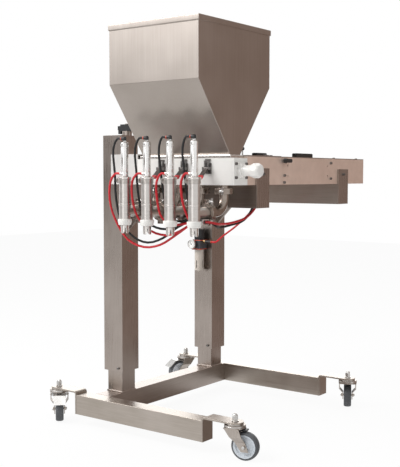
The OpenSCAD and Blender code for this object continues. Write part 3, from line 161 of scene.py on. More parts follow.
def brushed_steel(name, dark, light, rough, sizes, bump=0.05):
    made, tree = new_material(name)
    lines = grain(tree, sizes, 4.0)
    clouds = grain(tree, even(HANDLING), 3.0)
    both = put(tree, "ShaderNodeMath", {0: lines, 1: clouds}, operation="ADD").outputs[0]
    half = put(tree, "ShaderNodeMath", {0: both, 1: 0.5}, operation="MULTIPLY").outputs[0]
    colour = ramp(tree, half, [(0.35, dark), (0.65, light)])
    roughness = ramp(tree, half, [(0.3, rough - 0.05), (0.7, rough + 0.06)])
    relief = {"Height": lines, "Strength": bump, "Distance": mm(RELIEF)}
    normal = put(tree, "ShaderNodeBump", relief).outputs["Normal"]
    shader = put(tree, "ShaderNodeBsdfPrincipled", {"Base Color": colour,
        "Roughness": roughness, "Normal": normal, "Metallic": 1.0})
    put(tree, "ShaderNodeOutputMaterial", {"Surface": shader.outputs[0]})
    return made


print("scratches drawn", FINE, "mm wide and", LONG, "mm long")

# %% [markdown]
# ## Plastics and rubber
# Machined acetal, moulded nylon and extruded hose differ less in colour than in surface: the
# first keeps faint tool marks, the second the texture of its mould, and the third is smooth and
# a little dull. One function covers them, with the roughness, the strength of the marks and a
# clear coat as its settings. The marks too are drawn coarser than they are, so that they show.

# %% Plastic
TOOL_MARKS, SHADES = 2.857, 111.1   # size of the marks and of the slow change of shade
PLASTIC_IOR, COAT_ROUGHNESS = 1.5, 0.15


def plastic(name, dark, light, rough, bump=0.03, coat=0.0):
    made, tree = new_material(name)
    clouds = grain(tree, even(SHADES), 3.0)
    fine = grain(tree, even(TOOL_MARKS), 2.0)
    colour = ramp(tree, clouds, [(0.35, dark), (0.65, light)])
    roughness = ramp(tree, clouds, [(0.3, rough - 0.04), (0.7, rough + 0.05)])
    relief = {"Height": fine, "Strength": bump, "Distance": mm(RELIEF)}
    normal = put(tree, "ShaderNodeBump", relief).outputs["Normal"]
    shader = put(tree, "ShaderNodeBsdfPrincipled", {"Base Color": colour,
        "Roughness": roughness, "Normal": normal, "Metallic": 0.0, "IOR": PLASTIC_IOR,
        "Coat Weight": coat, "Coat Roughness": COAT_ROUGHNESS})
    put(tree, "ShaderNodeOutputMaterial", {"Surface": shader.outputs[0]})
    return made


print("plastics keep an index of refraction of", PLASTIC_IOR)

# %% [markdown]
# The finishes of this machine follow, each with its two colours, its roughness and, for a metal,
# the size of its grain along X, Y and Z. Scratches run along a tube and up a sheet, so the tube
# has a material for each direction. Their colours differ a little as well, because each was
# matched to its own tube in the photograph.

# %% Finishes of the machine
ALONG_X, ALONG_Y, ALONG_Z = (LONG, FINE, FINE), (FINE, LONG, FINE), (FINE, FINE, LONG)
METALS = {
    "upright": ("brushed tube, upright grain", "#968C85", "#A89E97", 0.28, ALONG_Z),
    "across": ("brushed tube, grain along the foot", "#A2998F", "#B4ABA3", 0.34, ALONG_X),
    "back": ("brushed tube, grain along the bar", "#968C85", "#A89E97", 0.34, ALONG_Y),
    "hopper": ("brushed hopper sheet", "#A0978F", "#ACA39C", 0.33, (FINE, FINE, 250), 0.02),
    "box": ("blasted cover sheet", "#E6D6CB", "#EFDFD4", 0.55, even(25), 0.02),
    "lid": ("blasted top sheet", "#9A8E85", "#A69A91", 0.5, even(25), 0.02),
    "polished": ("turned and polished steel", "#C4BFBB", "#D6D2CE", 0.24,
        (16.667, 16.667, 1.4286), 0.02),
    "ground": ("ground spout tube", "#C1BCB8", "#D0CCC8", 0.3, (25, 25, 8.333), 0.0),
    # a darker copy of the tube steel for the arms: painted shade under the box
    "arm": ("brushed arm tube with painted shade", "#8A8079", "#9A9089", 0.32, ALONG_X),
    "cast": ("cast and blasted clamp steel", "#A8A29D", "#C0BBB6", 0.3, even(6.25), 0.25),
    "pipe": ("cast and polished pipe steel", "#8A7F76", "#A3978E", 0.24, even(16.667), 0.05),
    "zinc": ("bright zinc plated steel", "#B9B7B4", "#D2D1CF", 0.26, even(12.5), 0.08),
    "strap": ("pressed caster steel", "#A39A92", "#B5ADA6", 0.34, (5, 5, 33.333), 0.06),
    "aluminium": ("satin anodised aluminium", "#DCDAD8", "#EAE8E6", 0.22,
        (33.333, 33.333, 16.667), 0.0),
    "brass": ("nickel plated brass", "#A98A5E", "#C7A87A", 0.3, even(5), 0.05),
    "dark": ("stamped latch steel", "#4C4947", "#6A6663", 0.3, even(8.333), 0.05),
    "screw": ("turned screw steel", "#6B6866", "#8B8886", 0.33, even(3.3333), 0.05),
}
STEEL = {key: brushed_steel(*values) for key, values in METALS.items()}
PLASTIC = {
    "white": plastic("machined white acetal", "#EAE8E4", "#F3F1ED", 0.42),
    # the same white acetal in a greyer copy: painted shade on the valve housing
    "housing": plastic("milled white acetal with painted shade", "#CBC8C5", "#D6D3D0", 0.45),
    "gloss white": plastic("turned white acetal", "#ECEAE6", "#F4F2EE", 0.3, coat=0.3),
    "black": plastic("moulded black nylon", "#161718", "#212224", 0.4),
    "grey": plastic("moulded dark grey acetal", "#2C2E32", "#393C41", 0.42),
    "stone": plastic("moulded beige guard", "#BDB4AA", "#CBC3BA", 0.45),
    "orange": plastic("orange release ring", "#C4401C", "#D64E24", 0.35),
    "red": plastic("dipped red grip", "#C00D18", "#D81A22", 0.3, coat=0.5),
    "red hose": plastic("extruded red polyurethane hose", "#B60618", "#CB0B1F", 0.5),
    "black hose": plastic("extruded black polyurethane hose", "#060607", "#0C0C0D", 0.55),
    "tread": plastic("grey thermoplastic rubber tread", "#4B4D50", "#5A5C5F", 0.6, 0.1),
    "hub": plastic("light grey nylon hub", "#CBD2D9", "#D8DEE4", 0.35),
    "seal": plastic("black food rubber", "#141415", "#1D1D1F", 0.55),
    "dial": plastic("white enamelled dial", "#F0F0EE", "#F6F6F4", 0.4),
}
print("finishes:", len(STEEL), "metals and", len(PLASTIC), "plastics")

# %% [markdown]
# ## Building with bmesh
# A turned part is a profile of radius and height that is spun about an axis, and a milled part
# is a block. Both are added to one bmesh in millimetres, where they need no boolean. Ribs are
# cut by letting the radius of a few rows rise and fall round the axis.

# %% Turned and milled shapes
UP, RIGHT, LEFT, FRONT, BACK = (0, 0, 1), (1, 0, 0), (-1, 0, 0), (0, -1, 0), (0, 1, 0)


def join_rings(work, rings):
    """Closes each pair of neighbouring rings with a band of faces."""
    for low, high in zip(rings, rings[1:]):
        for i in range(len(low)):
            work.faces.new((low[i - 1], low[i], high[i], high[i - 1]))


def turned(work, profile, place=(0, 0, 0), along=UP, steps=40, ribs=0, depth=0.0, rows=()):
    """Spins (radius, height) points about the direction along, through place."""
    turn = Vector(UP).rotation_difference(Vector(along)).to_matrix()
    rings = []
    for row, (radius, height) in enumerate(profile):
        ring = []
        for step in range(steps):
            angle = 2 * math.pi * step / steps
            cut = depth * (0.5 - 0.5 * math.cos(ribs * angle)) if row in rows else 0.0
            reach = radius - cut
            spot = Vector((reach * math.cos(angle), reach * math.sin(angle), height))
            ring.append(work.verts.new(turn @ spot + Vector(place)))
        rings.append(ring)
    join_rings(work, rings)


def rod(work, place, along, radius, length, chamfer=0.5, steps=32):
    edge = min(chamfer, radius / 2, length / 2)
    turned(work, [(0, 0), (radius - edge, 0), (radius, edge), (radius, length - edge),
        (radius - edge, length), (0, length)], place, along, steps)


def block(work, low, high):
    made = bmesh.ops.create_cube(work, size=1.0)
    for corner in made["verts"]:
        corner.co = Vector(low[i] + (corner.co[i] + 0.5) * (high[i] - low[i]) for i in range(3))
    return made["verts"]


print("shapes: turned, rod and block, in millimetres")

# %% [markdown]
# A finished piece rides on the body that carries it and stands for the piece of the model that
# it replaces. Its modifiers are evaluated into the mesh, because a piece is handed on as a plain
# mesh at the origin. The bevel rounds the sharp edges, and the weighted normals then give the
# large faces the say over the shading, so that a flat face stays flat to the eye and only the
# narrow bevel turns the light.

# %% Finish a mesh
SHARP_ANGLE, BEVEL_ANGLE = 32, 35   # degrees from which an edge is shaded sharp, and is rounded
FACE_WEIGHT = 90


def slot_of_node(node):
    return next(s["material_slot"] for s in frame["record"]["subparts"] if s["node"] == node)


def link(name, data, body, nodes, slot, material):
    """Puts a mesh on its body in place of the nodes. The slot, or the first node's one, is looked
    up and not used.
    """
    made = add_object(name, data)
    data.materials.clear()
    for one in material if isinstance(material, list) else [material]:
        data.materials.append(one)
    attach(made, body)
    if nodes:
        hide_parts(*nodes)
    slot = slot or slot_of_node(nodes[0])
    print(f"{name}: {len(data.polygons)} faces on {body}")


def welded(name, work):
    """Mesh of a bmesh that was drawn in millimetres about a piece's own zero."""
    bmesh.ops.remove_doubles(work, verts=work.verts, dist=1e-3)
    bmesh.ops.recalc_face_normals(work, faces=work.faces)
    bmesh.ops.scale(work, vec=(0.001, 0.001, 0.001), verts=work.verts)
    data = bpy.data.meshes.new(name)
    work.to_mesh(data)
    work.free()
    for face in data.polygons:
        face.use_smooth = True
    data.set_sharp_from_angle(angle=math.radians(SHARP_ANGLE))
    return data


def applied(holder):
    """Plain mesh of an object with its modifiers applied. The object itself is removed."""
    graph = bpy.context.evaluated_depsgraph_get()
    ready = bpy.data.meshes.new_from_object(holder.evaluated_get(graph))
    bpy.data.objects.remove(holder)
    return ready


def rounded(data, edge, segments=2):
    """Copy of a mesh with every sharp edge rounded, edge in millimetres."""
    for face in data.polygons:
        face.use_smooth = True
    holder = add_object("rounding", data)
    bevel = holder.modifiers.new("bevel", "BEVEL")
    bevel.width = mm(edge)
    bevel.segments = segments
    bevel.limit_method = "ANGLE"
    bevel.angle_limit = math.radians(BEVEL_ANGLE)
    weights = holder.modifiers.new("weights", "WEIGHTED_NORMAL")
    weights.mode = "FACE_AREA"
    weights.weight = FACE_WEIGHT
    return applied(holder)


def piece(name, work, body, nodes, slot, material, edge=0.0, segments=2):
    """One finished piece from a bmesh in millimetres of the machine."""
    bmesh.ops.translate(work, vec=-ORIGIN, verts=work.verts)
    data = welded(name, work)
    if edge:
        data = rounded(data, edge, segments)
    link(name, data, body, nodes, slot, material)


print("edges are rounded from", BEVEL_ANGLE, "degrees")

# %% [markdown]
# ## Repeating with Geometry Nodes
# Screws, ribs, cap nuts and weld beads are one shape at many places. A node tree sets the shape
# on each point of a small point cloud and turns it by a stored angle, so a screw is drawn once
# and a place is one line. The tree ends in real geometry with its finish, and the result is
# read back as a plain mesh for one body.

# %% The tree that repeats a shape
def repeating_tree():
    tree = bpy.data.node_groups.new("shape_on_points", "GeometryNodeTree")
    for label, kind in (("Points", "NodeSocketGeometry"), ("Shape", "NodeSocketObject"),
            ("Finish", "NodeSocketMaterial")):
        tree.interface.new_socket(name=label, in_out="INPUT", socket_type=kind)
    tree.interface.new_socket(name="Geometry", in_out="OUTPUT", socket_type="NodeSocketGeometry")
    given = put(tree, "NodeGroupInput").outputs
    shape = put(tree, "GeometryNodeObjectInfo", {"Object": given["Shape"]}).outputs["Geometry"]
    stored = put(tree, "GeometryNodeInputNamedAttribute", {"Name": "turn"},
        data_type="FLOAT_VECTOR").outputs["Attribute"]
    turn = put(tree, "FunctionNodeEulerToRotation", {"Euler": stored}).outputs[0]
    copies = put(tree, "GeometryNodeInstanceOnPoints",
        {"Points": given["Points"], "Instance": shape, "Rotation": turn}).outputs["Instances"]
    real = put(tree, "GeometryNodeRealizeInstances", {"Geometry": copies}).outputs["Geometry"]
    finished = put(tree, "GeometryNodeSetMaterial",
        {"Geometry": real, "Material": given["Finish"]}).outputs["Geometry"]
    put(tree, "NodeGroupOutput", {"Geometry": finished})
    return tree


REPEAT = repeating_tree()


def repeated(name, shape, spots, body, nodes, slot, material):
    """Sets a mesh at each (place in millimetres, direction that its +Z points to)."""
    pattern = add_object(name + "_shape", shape)
    cloud = bpy.data.meshes.new(name + "_points")
    cloud.from_pydata([at(*place) for place, _ in spots], [], [])
    turns = cloud.attributes.new("turn", "FLOAT_VECTOR", "POINT")
    for value, (_, along) in zip(turns.data, spots):
        value.vector = Vector(UP).rotation_difference(Vector(along)).to_euler()
    holder = add_object(name + "_cloud", cloud)
    modifier = holder.modifiers.new("repeat", "NODES")
    modifier.node_group = REPEAT
    for socket in REPEAT.interface.items_tree:
        if socket.in_out == "INPUT" and socket.name in ("Shape", "Finish"):
            modifier[socket.identifier] = pattern if socket.name == "Shape" else material
    ready = applied(holder)
    bpy.data.objects.remove(pattern)
    print(name, "at", len(spots), "places")
    link(name, ready, body, nodes, slot, material)


print("repeating tree:", len(REPEAT.nodes), "nodes")

# %% [markdown]
# ## Air hoses
# Eleven polyurethane hoses of 8 mm carry air to the spout cylinders. Each one is a single smooth
# curve through the places where the model's own hose runs: straight out of its elbow, down in a
# slack loop and into the distributor. A curve through chosen points keeps both the length and
# the bend radius in hand, which a simulation would not.

# %% Hose routes in millimetres
HOSE = 8.0
RED_ROUTES = [
    [(225, -127, 970), (205, -127, 970), (182, -127, 945), (176, -126, 880), (190, -116, 815),
        (235, -100, 742), (300, -88, 717), (365, -80, 727), (425, -75, 760), (490, -72, 800),
        (510, -70.5, 807.5), (530, -70.5, 807.5)],
    [(325, -127, 970), (305, -127, 970), (282, -127, 945), (280, -124, 880), (290, -108, 820),
        (335, -94, 775), (400, -88, 762), (455, -84, 778), (510, -79.5, 807.5),
        (530, -79.5, 807.5)],
    [(425, -127, 970), (408, -127, 970), (390, -127, 945), (388, -122, 880), (395, -106, 822),
        (430, -92, 800), (505, -88.5, 807.5), (530, -88.5, 807.5)],
    [(525, -127, 970), (510, -127, 970), (494, -127, 945), (492, -118, 880), (498, -100, 830),
        (514, -97.5, 807.5), (530, -97.5, 807.5)],
    [(564, -90, 812), (584, -94, 812), (594, -66, 806), (572, 0, 802), (560, 80, 804),
        (556, 170, 820), (550, 240, 860), (550, 260, 895), (550, 260, 919.5)],
    [(31.5, 679, 677), (50, 679, 677), (98, 672, 708), (163, 655, 744), (225, 630, 780),
        (300, 590, 825), (370, 545, 870), (410, 512, 900), (410, 512, 919.5)],
]
BLACK_ROUTES = [
    [(231, -127, 1090), (214, -127, 1090), (193, -125, 1055), (188, -112, 970), (190, -108, 880),
        (205, -96, 800), (250, -82, 748), (305, -74, 732), (370, -70, 750), (430, -68, 788),
        (505, -70.5, 816.5), (530, -70.5, 816.5)],
    [(331, -127, 1090), (314, -127, 1090), (293, -125, 1055), (288, -112, 970), (290, -104, 890),
        (305, -92, 815), (350, -82, 786), (410, -78, 784), (500, -79.5, 816.5),
        (530, -79.5, 816.5)],
    [(431, -127, 1090), (414, -127, 1090), (398, -125, 1055), (396, -112, 970), (398, -98, 890),
        (408, -92, 830), (450, -89, 811), (505, -88.5, 816.5), (530, -88.5, 816.5)],
    [(531, -127, 1090), (514, -127, 1090), (498, -125, 1055), (496, -112, 970), (500, -100, 890),
        (506, -96, 840), (518, -97.5, 816.5), (530, -97.5, 816.5)],
    [(564, -78, 812), (576, -78, 811), (578, -50, 798), (558, 0, 790), (546, 80, 794),
        (542, 170, 808), (534, 236, 850), (534, 250, 890), (534, 250, 919.5)],
]
print("hose routes:", len(RED_ROUTES), "red and", len(BLACK_ROUTES), "black")

# %% [markdown]
# The spline passes through every point. Centripetal spacing, the square root of each distance,
# keeps it from overshooting where two points lie close together.

# %% Smooth curve and hose maker
SHORT_ROUTE = 10   # a route with fewer points has longer spans, and takes four steps in each


def smooth(points, steps):
    """Points of a centripetal Catmull-Rom curve through the given ones."""
    points = [Vector(p) for p in points]
    points = [2 * points[0] - points[1]] + points + [2 * points[-1] - points[-2]]
    made = []
    for i in range(1, len(points) - 2):
        p = points[i - 1:i + 3]
        t = [0.0]
        for a, b in zip(p, p[1:]):
            t.append(t[-1] + max((b - a).length, 1e-6) ** 0.5)
        for step in range(steps):
            u = t[1] + (t[2] - t[1]) * step / steps
            a = [p[k].lerp(p[k + 1], (u - t[k]) / (t[k + 1] - t[k])) for k in range(3)]
            b = [a[k].lerp(a[k + 1], (u - t[k]) / (t[k + 2] - t[k])) for k in range(2)]
            made.append(b[0].lerp(b[1], (u - t[1]) / (t[2] - t[1])))
    return made + [points[-2]]


def hose(name, route, material, cad_node):
    line = [at(*p) for p in smooth(route, 4 if len(route) < SHORT_ROUTE else 3)]
    length = sum((b - a).length for a, b in zip(line, line[1:]))
    data = bpy.data.curves.new(name, "CURVE")
    data.dimensions = "3D"
    data.bevel_depth = mm(HOSE / 2)
    data.bevel_resolution = 4
    data.use_fill_caps = True
    spline = data.splines.new("POLY")
    spline.points.add(len(line) - 1)
    for point, place in zip(spline.points, line):
        point.co = (*place, 1)
    spline.use_smooth = True
    made = add_object(name, data)
    data.materials.append(material)
    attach(made, "head")
    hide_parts(cad_node)
    return length


for colour, routes in (("red", RED_ROUTES), ("black", BLACK_ROUTES)):
    lengths = [hose(f"{colour}_hose_{i + 1}", route, PLASTIC[colour + " hose"], colour + "_hoses")
        for i, route in enumerate(routes)]
    print(colour, "hoses, mm:", [round(1000 * length) for length in lengths])

# %% [markdown]
# ## Studio
# A pale floor, one large soft light from the front left and a weaker one from above. Steel shows
# what stands round it, so seven cards that only reflections see shape it. Four are brown: the
# right-hand faces mirror the one behind on the right, the front faces mirror the one in front on
# the left, and two lie on the floor. Three are bright: one behind on the left gives the tops of
# the feet their shine, one brightens the front of the hopper, and a narrow one in front draws a
# line on every tube. Floor and world count as white for the camera and for every reflection, and
# as a plain grey for the light that they throw.

# %% Floor and card finishes
FLOOR_GLOW = 0.93   # how far the floor is plain white where it is looked at


def seen_directly(tree):
    """One where the camera, a reflection or a view through glass looks, else nought."""
    rays = put(tree, "ShaderNodeLightPath").outputs
    seen = rays["Is Camera Ray"]
    for ray in ("Is Glossy Ray", "Is Transmission Ray"):
        seen = put(tree, "ShaderNodeMath", {0: seen, 1: rays[ray]}, operation="MAXIMUM").outputs[0]
    return seen


def floor_material():
    made, tree = new_material("white studio floor")
    diffuse = put(tree, "ShaderNodeBsdfDiffuse", {"Color": linear("#F2F2F2")})
    glow = put(tree, "ShaderNodeEmission", {"Color": linear("#FFFFFF"), "Strength": 1.0})
    share = put(tree, "ShaderNodeMath", {0: seen_directly(tree), 1: FLOOR_GLOW},
        operation="MULTIPLY").outputs[0]
    mix = put(tree, "ShaderNodeMixShader", {0: share, 1: diffuse.outputs[0], 2: glow.outputs[0]})
    put(tree, "ShaderNodeOutputMaterial", {"Surface": mix.outputs[0]})
    return made


def card_material(name, code, strength):
    made, tree = new_material(name)
    glow = put(tree, "ShaderNodeEmission", {"Color": linear(code), "Strength": strength})
    put(tree, "ShaderNodeOutputMaterial", {"Surface": glow.outputs[0]})
    return made


print("the floor glows", FLOOR_GLOW, "where it is looked at")

# %% [markdown]
# The cards and the floor are single faces, in metres of the frame. A standing card is given by
# its foot, its width and its two heights, and always faces the machine.

# %% Floor and cards
def sheet_of(name, corners, material):
    data = bpy.data.meshes.new(name)
    data.from_pydata(corners, [], [list(range(len(corners)))])
    made = add_object(name, data)
    data.materials.append(material)
    return made


def rectangle(low, high, z):
    (x0, y0), (x1, y1) = low, high
    return [(x0, y0, z), (x1, y0, z), (x1, y1, z), (x0, y1, z)]


def only_reflected(made):
    made.visible_camera = made.visible_diffuse = made.visible_shadow = False


def card(name, foot, width, heights, material):
    """Upright card that faces the machine and is seen by reflections only."""
    side = Vector((-foot[1], foot[0], 0)).normalized() * width / 2
    low, high = (Vector((foot[0], foot[1], height)) for height in heights)
    only_reflected(sheet_of(name, [low - side, low + side, high + side, high - side], material))


def flat_card(name, low, high, material):
    """Card that lies just above the floor and is seen by reflections only."""
    only_reflected(sheet_of(name, rectangle(low, high, 0.002), material))


brown = card_material("dark card", "#AD9A91", 1.0)
sheet_of("studio_floor", rectangle((-9, -9), (9, 9), 0), floor_material())
card("card_right", (2.4, 3.0), 5.4, (0.0, 3.6), brown)
card("card_gap", (-2.15, -3.05), 3.4, (0.68, 1.42), card_material("gap card", "#6E655F", 1.0))
flat_card("card_low_near", (-0.19, -0.33), (1.2, 0.3), card_material("low card", "#8A7C74", 1.0))
flat_card("card_low_far", (0.2, 0.55), (5, 5), brown)
card("card_left", (-3.2, 4.4), 6.0, (0.0, 3.4), card_material("bright card", "#FFFFFF", 2.7))
card("card_hopper", (-2.4, -3.4), 3.6, (1.62, 2.9), card_material("hopper card", "#FAFCFF", 1.8))
card("card_front", (0.5, -4.2), 1.1, (0.2, 2.0), card_material("strip card", "#FFFFFF", 2.2))
print("floor and seven cards placed")

# %% [markdown]
# The world is white where it is looked at and 0.55 where it lights, which leaves room for the
# key light: a white part then stays below white, and its edges still read.

# %% World and lamps
WORLD_LIGHT = 0.55


def soft_light(name, place, target, size, power):
    data = bpy.data.lights.new(name, "AREA")
    data.shape = "RECTANGLE"
    data.size, data.size_y = size
    data.energy = power
    made = add_object(name, data)
    made.location = place
    made.rotation_euler = (Vector(target) - Vector(place)).to_track_quat("-Z", "Y").to_euler()


world = bpy.data.worlds.new("studio")
bpy.context.scene.world = world
world.use_nodes = True
world.node_tree.nodes.clear()
level = put(world.node_tree, "ShaderNodeMath",
    {0: seen_directly(world.node_tree), 1: 1 - WORLD_LIGHT, 2: WORLD_LIGHT},
    operation="MULTIPLY_ADD").outputs[0]
backdrop = put(world.node_tree, "ShaderNodeBackground",
    {"Color": linear("#FFFFFF"), "Strength": level})
put(world.node_tree, "ShaderNodeOutputWorld", {"Surface": backdrop.outputs[0]})
soft_light("key_light", (-2.0, -3.0, 3.75), (0, 0, 0.9), (2.6, 2.0), 165)
soft_light("top_light", (0.5, 0.5, 4.2), (0, 0, 0.8), (2.5, 2.5), 40)
bpy.context.scene.view_settings.view_transform = "Standard"
print("studio ready, the world lights at", WORLD_LIGHT)

# %% [markdown]
# ## Pieces of the model with softened edges
# Nothing on a real machine has a razor edge: sheet is deburred, tube has corner radii and
# plastic is chamfered. A copy of the model's own piece is merged, its flat faces are joined and
# a narrow bevel is put on every sharp edge, so that the edges catch the light. Where a part of a
# piece has another finish, such as a black grip on a steel cover, the faces in that region get a
# second material.

# %% Dress a piece of the model
FLAT_ANGLE = 0.4   # degrees under which two faces count as one flat face


def body_of_node(node):
    for name, nodes in frame["record"]["behaviour"]["bodies"].items():
        if node in nodes:
            return name
    raise ValueError(node)


def dressed(node, material, edge=0.8, regions=()):
    """Stands for a node. Each region is (low corner, high corner, material) in millimetres."""
    work = bmesh.new()
    work.from_mesh(frame["nodes"][node].data)
    bmesh.ops.remove_doubles(work, verts=work.verts, dist=1e-6)
    bmesh.ops.dissolve_limit(work, angle_limit=math.radians(FLAT_ANGLE), verts=work.verts,
        edges=work.edges)
    data = bpy.data.meshes.new(node + "_softened")
    work.to_mesh(data)
    work.free()
    data.materials.clear()
    ready = rounded(data, edge)
    finishes = [material] + [finish for _, _, finish in regions]
    link(node + "_piece", ready, body_of_node(node), [node], None, finishes)
    for face in ready.polygons:
        face.material_index = 0
        for index, (low, high, _) in enumerate(regions):
            low_corner, high_corner = at(*low), at(*high)
            if all(low_corner[i] <= face.center[i] <= high_corner[i] for i in range(3)):
                face.material_index = index + 1


def dressed_all(rows):
    for node, material, edge in rows:
        dressed(node, material, edge)


print("faces within", FLAT_ANGLE, "degrees are joined")

# %% [markdown]
# ## Stand, columns and arms
# Square stainless tube, welded and brushed, with the grain along each tube. The corner radius of
# such tube is about its wall, so these edges get 2 mm where sheet gets less than one. The arms
# take a darker copy of the tube steel, which paints the shade under the box, and their end plates
# take the upright one.

# %% Dress the stand, the columns and the arms
TUBE, SHEET, FINE_EDGE = 2.0, 0.8, 0.5
ARM_END_PLATES = ((615, 100, 840), (625, 830, 1000))
dressed_all([
    ("front_foot", STEEL["across"], TUBE), ("rear_foot", STEEL["across"], TUBE),
    ("cross_bar", STEEL["back"], TUBE), ("caster_brackets", STEEL["across"], SHEET),
    ("inner_posts", STEEL["upright"], TUBE), ("column_sleeves", STEEL["upright"], TUBE),
    ("lift_cylinders", STEEL["aluminium"], FINE_EDGE), ("lift_rods", STEEL["polished"], FINE_EDGE),
    ("guide_pads", PLASTIC["white"], FINE_EDGE), ("caster_nuts", STEEL["zinc"], 0.4)])
# the darker arm steel is painted shade; the end plates keep the upright steel
dressed("support_arms", STEEL["arm"], 1.5, [(*ARM_END_PLATES, STEEL["upright"])])

# %% [markdown]
# A post is welded to its bar with a row of small overlapping beads. One bead is a flattened ball
# of a few faces, and the repeating tree runs it round the foot of both posts.

# %% Weld beads at the foot of the posts
POST, POST_X, POSTS_Y, BAR_TOP = 75.0, -37.5, (169, 756), 118
BEADS, BEAD_RADIUS = 18, 2.4
bead_work = bmesh.new()
bmesh.ops.create_icosphere(bead_work, subdivisions=1, radius=BEAD_RADIUS)
bmesh.ops.scale(bead_work, vec=(1.2, 1.2, 0.9), verts=bead_work.verts)
bead_spots = []
for post_y in POSTS_Y:
    for i in range(BEADS):
        x = POST_X - POST / 2 + POST * (i + 0.5) / BEADS
        bead_spots += [((x, post_y + side, BAR_TOP), UP) for side in (-POST / 2, POST / 2)]
repeated("post_welds", welded("bead", bead_work), bead_spots, "stand", [], "stainless_tube",
    STEEL["cast"])

# %% [markdown]
# ## Casters
# A swivel caster of 100 mm has a turned head with a bright ring, a fork of two pressed straps, a
# grey rubber tyre on a lighter hub and a brake pedal above it. Tyre and hub are turned profiles
# whose two sides are alike, and each is spun about the axle of its own corner.

# %% Wheel profiles and places
TRAIL, WHEEL_R, FORK_HALF = 38.0, 49.0, 25.5
CORNERS = {"fl": (-244, 30, -44.0), "fr": (603, 30, 13.6), "rl": (-244, 850, -113.5),
    "rr": (603, 850, 117.4)}   # place of the stem, and where the fork points


def mirrored(profile):
    """Adds the far half of a profile that is the same on both sides of zero, and closes it."""
    return profile + [(radius, -height) for radius, height in reversed(profile)] + profile[:1]


TYRE = mirrored([(40, -14.5), (41, -15.4), (43.5, -15.4), (46, -14), (47.7, -11), (48.6, -7),
    (49, -2.5)])
HUB = mirrored([(4.4, -12), (12, -12), (13.5, -10.5), (15, -9), (29, -8.2), (31, -9.5),
    (32.5, -12), (33.5, -13.6), (35, -13.9), (35.6, -13), (36.4, -13), (37, -13.9), (40, -14.6)])
AXLE_NUT = [(0, 0), (6.2, 0), (6.2, 0.8), (5.2, 2.6), (3, 3.6), (0, 4)]
HEAD_RING = [(33, 114.2), (36.6, 114.6), (37.3, 115.4), (37.3, 117.6), (36.6, 118.4), (33, 118.8),
    (33, 114.2)]


def wheel_place(corner):
    """Centre of the wheel and direction of its axle."""
    x, y, angle = CORNERS[corner]
    turn = math.radians(angle)
    centre = (x + TRAIL * math.cos(turn), y + TRAIL * math.sin(turn), WHEEL_R)
    return centre, (-math.sin(turn), math.cos(turn), 0)


print("wheel centres, mm:", {c: [round(v, 1) for v in wheel_place(c)[0]] for c in CORNERS})

# %% [markdown]
# The pedals on the left are plated and those on the right black, as far as the photograph shows
# them. The nuts on the axle and the ring of the head share one piece.

# %% Wheels, forks and brake pedals
PLATED_PEDALS = ("fl", "rl")
for corner in CORNERS:
    centre, axle = wheel_place(corner)
    for part, profile, material in (("tyre", TYRE, PLASTIC["tread"]), ("hub", HUB, PLASTIC["hub"])):
        work = bmesh.new()
        turned(work, profile, centre, axle, steps=64)
        piece(f"{part}_{corner}", work, "roller_" + corner, ["wheel_" + corner], "tread", material)
    dressed("fork_" + corner, STEEL["strap"], SHEET)
    pedal_finish = STEEL["zinc"] if corner in PLATED_PEDALS else PLASTIC["black"]
    dressed("pedal_" + corner, pedal_finish, SHEET)
    work = bmesh.new()
    for side in (-1, 1):
        face = [centre[i] + side * FORK_HALF * axle[i] for i in range(3)]
        turned(work, AXLE_NUT, face, [side * v for v in axle], steps=24)
    x, y, _ = CORNERS[corner]
    turned(work, HEAD_RING, (x, y, 0), steps=48)
    piece("bright_caster_parts_" + corner, work, "caster_" + corner, [], "caster_zinc",
        STEEL["zinc"])

# %% [markdown]
# ## Drive box
# Blasted covers over a folded tray. The covers carry two black grips with moulded ribs. The
# grips belong to the same piece of the model, so their faces take the black finish by region,
# and the ribs are one small bar that is repeated along them.

# %% Box, covers and grips
REAR_GRIP = ((555, 469, 1031), (577, 591, 1047))
FRONT_GRIP = ((555, 196, 1033.5), (577, 264, 1043))
GRIP_X, REAR_RIBS, FRONT_RIBS = 566, (476, 9.8, 12, 1045.5), (202, 11.2, 6, 1041.5)
dressed("drive_box", STEEL["box"], SHEET)
dressed("box_covers", STEEL["lid"], SHEET,
    [(*REAR_GRIP, PLASTIC["black"]), (*FRONT_GRIP, PLASTIC["black"])])
rib_work = bmesh.new()
block(rib_work, (-10.6, -2.2, -1.5), (10.6, 2.2, 2.2))
rib_spots = [((GRIP_X, start + pitch * i, z), UP)
    for start, pitch, count, z in (REAR_RIBS, FRONT_RIBS) for i in range(count)]
repeated("grip_ribs", rounded(welded("rib", rib_work), 0.9), rib_spots, "head", [],
    "black_plastic", PLASTIC["black"])

# %% [markdown]
# ## Screws
# Cap screws with a hexagon socket hold the covers, plates and latches. The head is one profile
# turned in 24 steps, whose inner wall follows a hexagon. Its places are listed by the face that
# they are driven into, because the direction is then written once for a whole row.

# %% Cap screws
SCREW_STEPS = 24


def cap_screw(height):
    work = bmesh.new()
    outside = [(0.1, 0), (5, 0), (5, height - 0.6), (4.4, height)]
    socket = [(2.6, height), (2.5, height - 0.3), (2.5, height - 2.0), (0.1, height - 2.2)]
    rings = []
    for radius, level, hexagon in [(*p, False) for p in outside] + [(*p, True) for p in socket]:
        ring = []
        for step in range(SCREW_STEPS):
            angle = 2 * math.pi * step / SCREW_STEPS
            flat = math.cos((angle + math.pi / 6) % (math.pi / 3) - math.pi / 6)
            reach = radius / flat if hexagon else radius
            ring.append(work.verts.new((reach * math.cos(angle), reach * math.sin(angle), level)))
        rings.append(ring)
    join_rings(work, rings)
    return welded("cap_screw", work)


print("cap screws are turned in", SCREW_STEPS, "steps")

# %% [markdown]
# The right side has four screws in the valve housing, one in each arm plate and four in the box.
# At the back they hold the corners of the box, in front the latches and the lower ends of the
# columns, and on top the covers.

